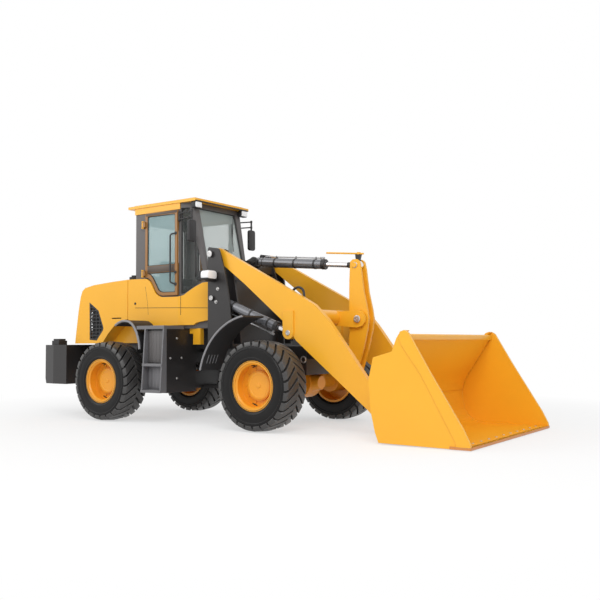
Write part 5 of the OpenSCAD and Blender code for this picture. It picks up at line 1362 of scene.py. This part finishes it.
@dataclass
class Steps:
    """Tread ribs, ribbed backs and the bolts of the side boxes."""

    front: float = -1.53
    rear: float = -1.885
    tank_y: float = 0.9
    tread_tops: tuple[float, ...] = (0.437, 0.777)
    bolts: tuple[Pair, ...] = ((0.71, 1.107), (0.71, 0.585), (0.83, 0.85), (0.62, 0.85))

    def build(self, site: Site) -> None:
        """Builds the tread ribs, the backs and the box bolts.

        Args:
            site: the loaded frame.
        """
        ribs = Form(site)
        for z in self.tread_tops:
            for i in range(3):
                y = self.tank_y + 0.022 + 0.025 * i
                ribs.tube([(self.rear + 0.03, y, z), (self.front - 0.03, y, z)], 0.004, 8)
        ribs.mirrored().piece("tread_ribs", "rear_chassis", site.palette.step, "step_paint")
        face = self.tank_y + 0.006
        for name, low, high, finish, slot in (("lower", 0.44, 0.74, site.palette.step, "step_paint"),
                                              ("upper", 0.79, 1.21, site.palette.grey, "grey_paint")):
            back = Form(site)
            back.block((self.rear + 0.024, self.tank_y - 0.001, low), (self.front - 0.024, face, high), 0.002)
            for i in range(5):
                x = self.rear + 0.06 + (self.front - self.rear - 0.12) * i / 4
                back.tube([(x, face, low + 0.03), (x, face, high - 0.03)], 0.004, 8)
            back.mirrored().piece("step_back_" + name, "rear_chassis", finish, slot)
        bolts = Form(site)
        for y, z in self.bolts:
            bolts.bolt((self.front, y, z), (1, 0, 0), 0.022)
        bolts.mirrored().piece("box_bolts", "rear_chassis", site.palette.zinc)


@dataclass
class Seat:
    """The driver's seat: two sewn cushions on a sprung pedestal."""

    voxel: float = 0.006
    pressure: float = 4.0
    frames: int = 20
    cap: float = 0.014
    pan: tuple[Point, Point] = ((-2.27, -0.215, 1.745), (-1.84, 0.215, 1.825))
    rest: tuple[Point, Point] = ((-2.355, -0.205, 1.86), (-2.285, 0.205, 2.235))

    def cushion(self, site: Site, name: str, low: Point, high: Point) -> None:
        """Blows up one cushion as cloth under pressure, and dresses it.

        Args:
            site: the loaded frame.
            name: the cushion's name.
            low: its lowest corner before it swells.
            high: its highest corner before it swells.
        """
        form = Form(site).block(low, high, 0.02)
        obj = form.piece(name, "rear_chassis", site.palette.seat, "seat_cover")
        obj.data.remesh_voxel_size = self.voxel
        bpy.context.view_layer.objects.active = obj
        bpy.ops.object.voxel_remesh()
        mesh = obj.data
        rest = [v.co.copy() for v in mesh.vertices]
        cloth = obj.modifiers.new("cloth", "CLOTH")
        cloth.settings.use_pressure = True
        cloth.settings.uniform_pressure_force = self.pressure
        cloth.settings.effector_weights.gravity = 0.0
        cloth.settings.quality = 4
        cloth.point_cache.frame_start = 1
        cloth.point_cache.frame_end = self.frames
        for frame in range(1, self.frames + 1):
            bpy.context.scene.frame_set(frame)
        swollen = obj.evaluated_get(bpy.context.evaluated_depsgraph_get()).to_mesh()
        moved = [v.co.copy() for v in swollen.vertices]
        obj.evaluated_get(bpy.context.evaluated_depsgraph_get()).to_mesh_clear()
        obj.modifiers.remove(cloth)
        bpy.context.scene.frame_set(1)
        for vert, start, end in zip(mesh.vertices, rest, moved):
            step = end - start
            vert.co = start + step * min(1.0, self.cap / max(step.length, 1e-6))
        for poly in mesh.polygons:
            poly.use_smooth = True
        finer = obj.modifiers.new("finer", "SUBSURF")
        finer.levels = finer.render_levels = 1
        bpy.ops.object.select_all(action="DESELECT")
        obj.select_set(True)
        bpy.ops.object.modifier_apply(modifier=finer.name)

    def build(self, site: Site) -> None:
        """Builds the cushions, the shell and the pedestal in place of the seat's solid.

        Args:
            site: the loaded frame.
        """
        shell = Form(site)
        shell.block((-2.3, -0.2, 1.7), (-1.86, 0.2, 1.735), 0.012)
        shell.block((-2.378, -0.19, 1.72), (-2.366, 0.19, 2.2), 0.004)
        shell.block((-2.2, -0.15, 1.29), (-1.9, 0.15, 1.56), 0.02)
        for i in range(4):
            inset, rise = 0.004 * i, 0.035 * i
            shell.block((-2.18 + inset, -0.14, 1.56 + rise), (-1.92 - inset, 0.14, 1.59 + rise), 0.01)
        shell.piece("seat_shell", "rear_chassis", site.palette.plastic, "black_plastic", ("seat",))
        self.cushion(site, "seat_pan", *self.pan)
        self.cushion(site, "seat_backrest", *self.rest)


@dataclass
class Studio:
    """Camera, light and floor."""

    eye: Point = (5.7129, -8.2180, 1.0392)
    yaw: float = 125.03
    pitch: float = 3.13
    roll: float = -0.34
    focal_px: float = 782.78
    frame_px: float = 600.0
    sensor: float = 36.0
    sky: float = 0.6
    aim: Point = (0.0, 0.0, 1.2)
    floor_half: float = 90.0
    floor_glow: float = 0.55
    fade_from: float = 3.0
    fade_rate: float = 0.25
    lamps: tuple[tuple[str, Point, float, float], ...] = (
        ("key", (6.0, -7.0, 8.0), 6.0, 560.0), ("fill", (-6.0, -6.0, 6.0), 6.0, 210.0))

    def camera(self, axle_x: float) -> None:
        """Puts the camera where the photograph was taken from.

        Args:
            axle_x: the front axle's place in the frame.
        """
        data = bpy.data.cameras.new("camera")
        data.sensor_width = self.sensor
        data.lens = self.focal_px / self.frame_px * self.sensor
        data.dof.use_dof = False
        data.clip_end = 300.0
        cam = bpy.data.objects.new("camera", data)
        bpy.context.scene.collection.objects.link(cam)
        yaw, pitch, roll = (math.radians(a) for a in (self.yaw, self.pitch, self.roll))
        ahead = Vector((math.cos(pitch) * math.cos(yaw), math.cos(pitch) * math.sin(yaw), math.sin(pitch)))
        right = ahead.cross(Vector((0, 0, 1))).normalized()
        up = right.cross(ahead)
        right, up = (right * math.cos(roll) + up * math.sin(roll), up * math.cos(roll) - right * math.sin(roll))
        turn = Matrix((right, up, -ahead)).transposed().to_4x4()
        cam.matrix_world = Matrix.Translation(Vector(self.eye) + Vector((axle_x, 0, 0))) @ turn
        bpy.context.scene.camera = cam

    def seen(self, base: Shade) -> Shade:
        """One for rays that show the backdrop: from the camera, a mirror or through glass."""
        direct, glossy, through = (base.node("ShaderNodeLightPath", out="Is %s Ray" % kind)
                                   for kind in ("Camera", "Glossy", "Transmission"))
        return (direct + glossy + through).clamped()

    def lights(self) -> None:
        """A white world and soft lamps from above."""
        world = bpy.data.worlds.new("studio")
        bpy.context.scene.world = world
        world.use_nodes = True
        back = world.node_tree.nodes["Background"]
        back.inputs["Color"].default_value = (1.0, 1.0, 1.0, 1.0)
        base = Shade(world.node_tree, 0.0)
        level = self.sky + self.seen(base) * (1.0 - self.sky)
        world.node_tree.links.new(level.socket, back.inputs["Strength"])
        for name, place, size, power in self.lamps:
            data = bpy.data.lights.new(name, "AREA")
            data.size = size
            data.energy = power
            lamp = bpy.data.objects.new(name, data)
            lamp.location = place
            lamp.rotation_euler = (Vector(self.aim) - Vector(place)).to_track_quat("-Z", "Y").to_euler()
            bpy.context.scene.collection.objects.link(lamp)

    def floor(self) -> None:
        """A white floor that keeps the shadow near the machine and fades into the backdrop."""
        mesh = bpy.data.meshes.new("floor")
        bm = bmesh.new()
        bmesh.ops.create_grid(bm, x_segments=8, y_segments=8, size=self.floor_half)
        bm.to_mesh(mesh)
        bm.free()
        floor = bpy.data.objects.new("floor", mesh)
        bpy.context.scene.collection.objects.link(floor)
        mat = bpy.data.materials.new("floor_white")
        mat.use_nodes = True
        tree = mat.node_tree
        bsdf = tree.nodes["Principled BSDF"]
        bsdf.inputs["Base Color"].default_value = (0.9, 0.9, 0.9, 1.0)
        bsdf.inputs["Roughness"].default_value = 0.9
        base = Shade(tree, 0.0)
        coords = base.node("ShaderNodeTexCoord", out="Object")
        away = base.node("ShaderNodeVectorMath", {"operation": "LENGTH"}, {0: coords}, out="Value")
        far = ((away - self.fade_from) * self.fade_rate).clamped()
        white = base.node("ShaderNodeEmission", sockets={"Color": (1.0, 1.0, 1.0, 1.0), "Strength": 1.0})
        lit = Shade(tree, bsdf.outputs[0])
        share = (self.floor_glow + (1.0 - self.floor_glow) * far) * self.seen(base)
        joined = base.node("ShaderNodeMixShader", sockets={0: share, 1: lit, 2: white})
        tree.links.new(joined.socket, tree.nodes["Material Output"].inputs["Surface"])
        floor.data.materials.append(mat)


def main() -> None:
    """Builds the scene in order."""
    logging.basicConfig(level=logging.INFO, format="%(message)s")
    site = Site(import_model())
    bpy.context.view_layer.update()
    bpy.context.scene.view_settings.view_transform = "Standard"
    studio = Studio()
    studio.camera(site.axle)
    studio.lights()
    studio.floor()
    site.dress_nodes()
    for part in (Wheels(), Linkage(), Shovel(), Engine(), Cab(), Doors(), Mirrors(), Lamps(), Fenders(), Steps(),
                 Seat()):
        part.build(site)


if __name__ == "__main__":
    main()
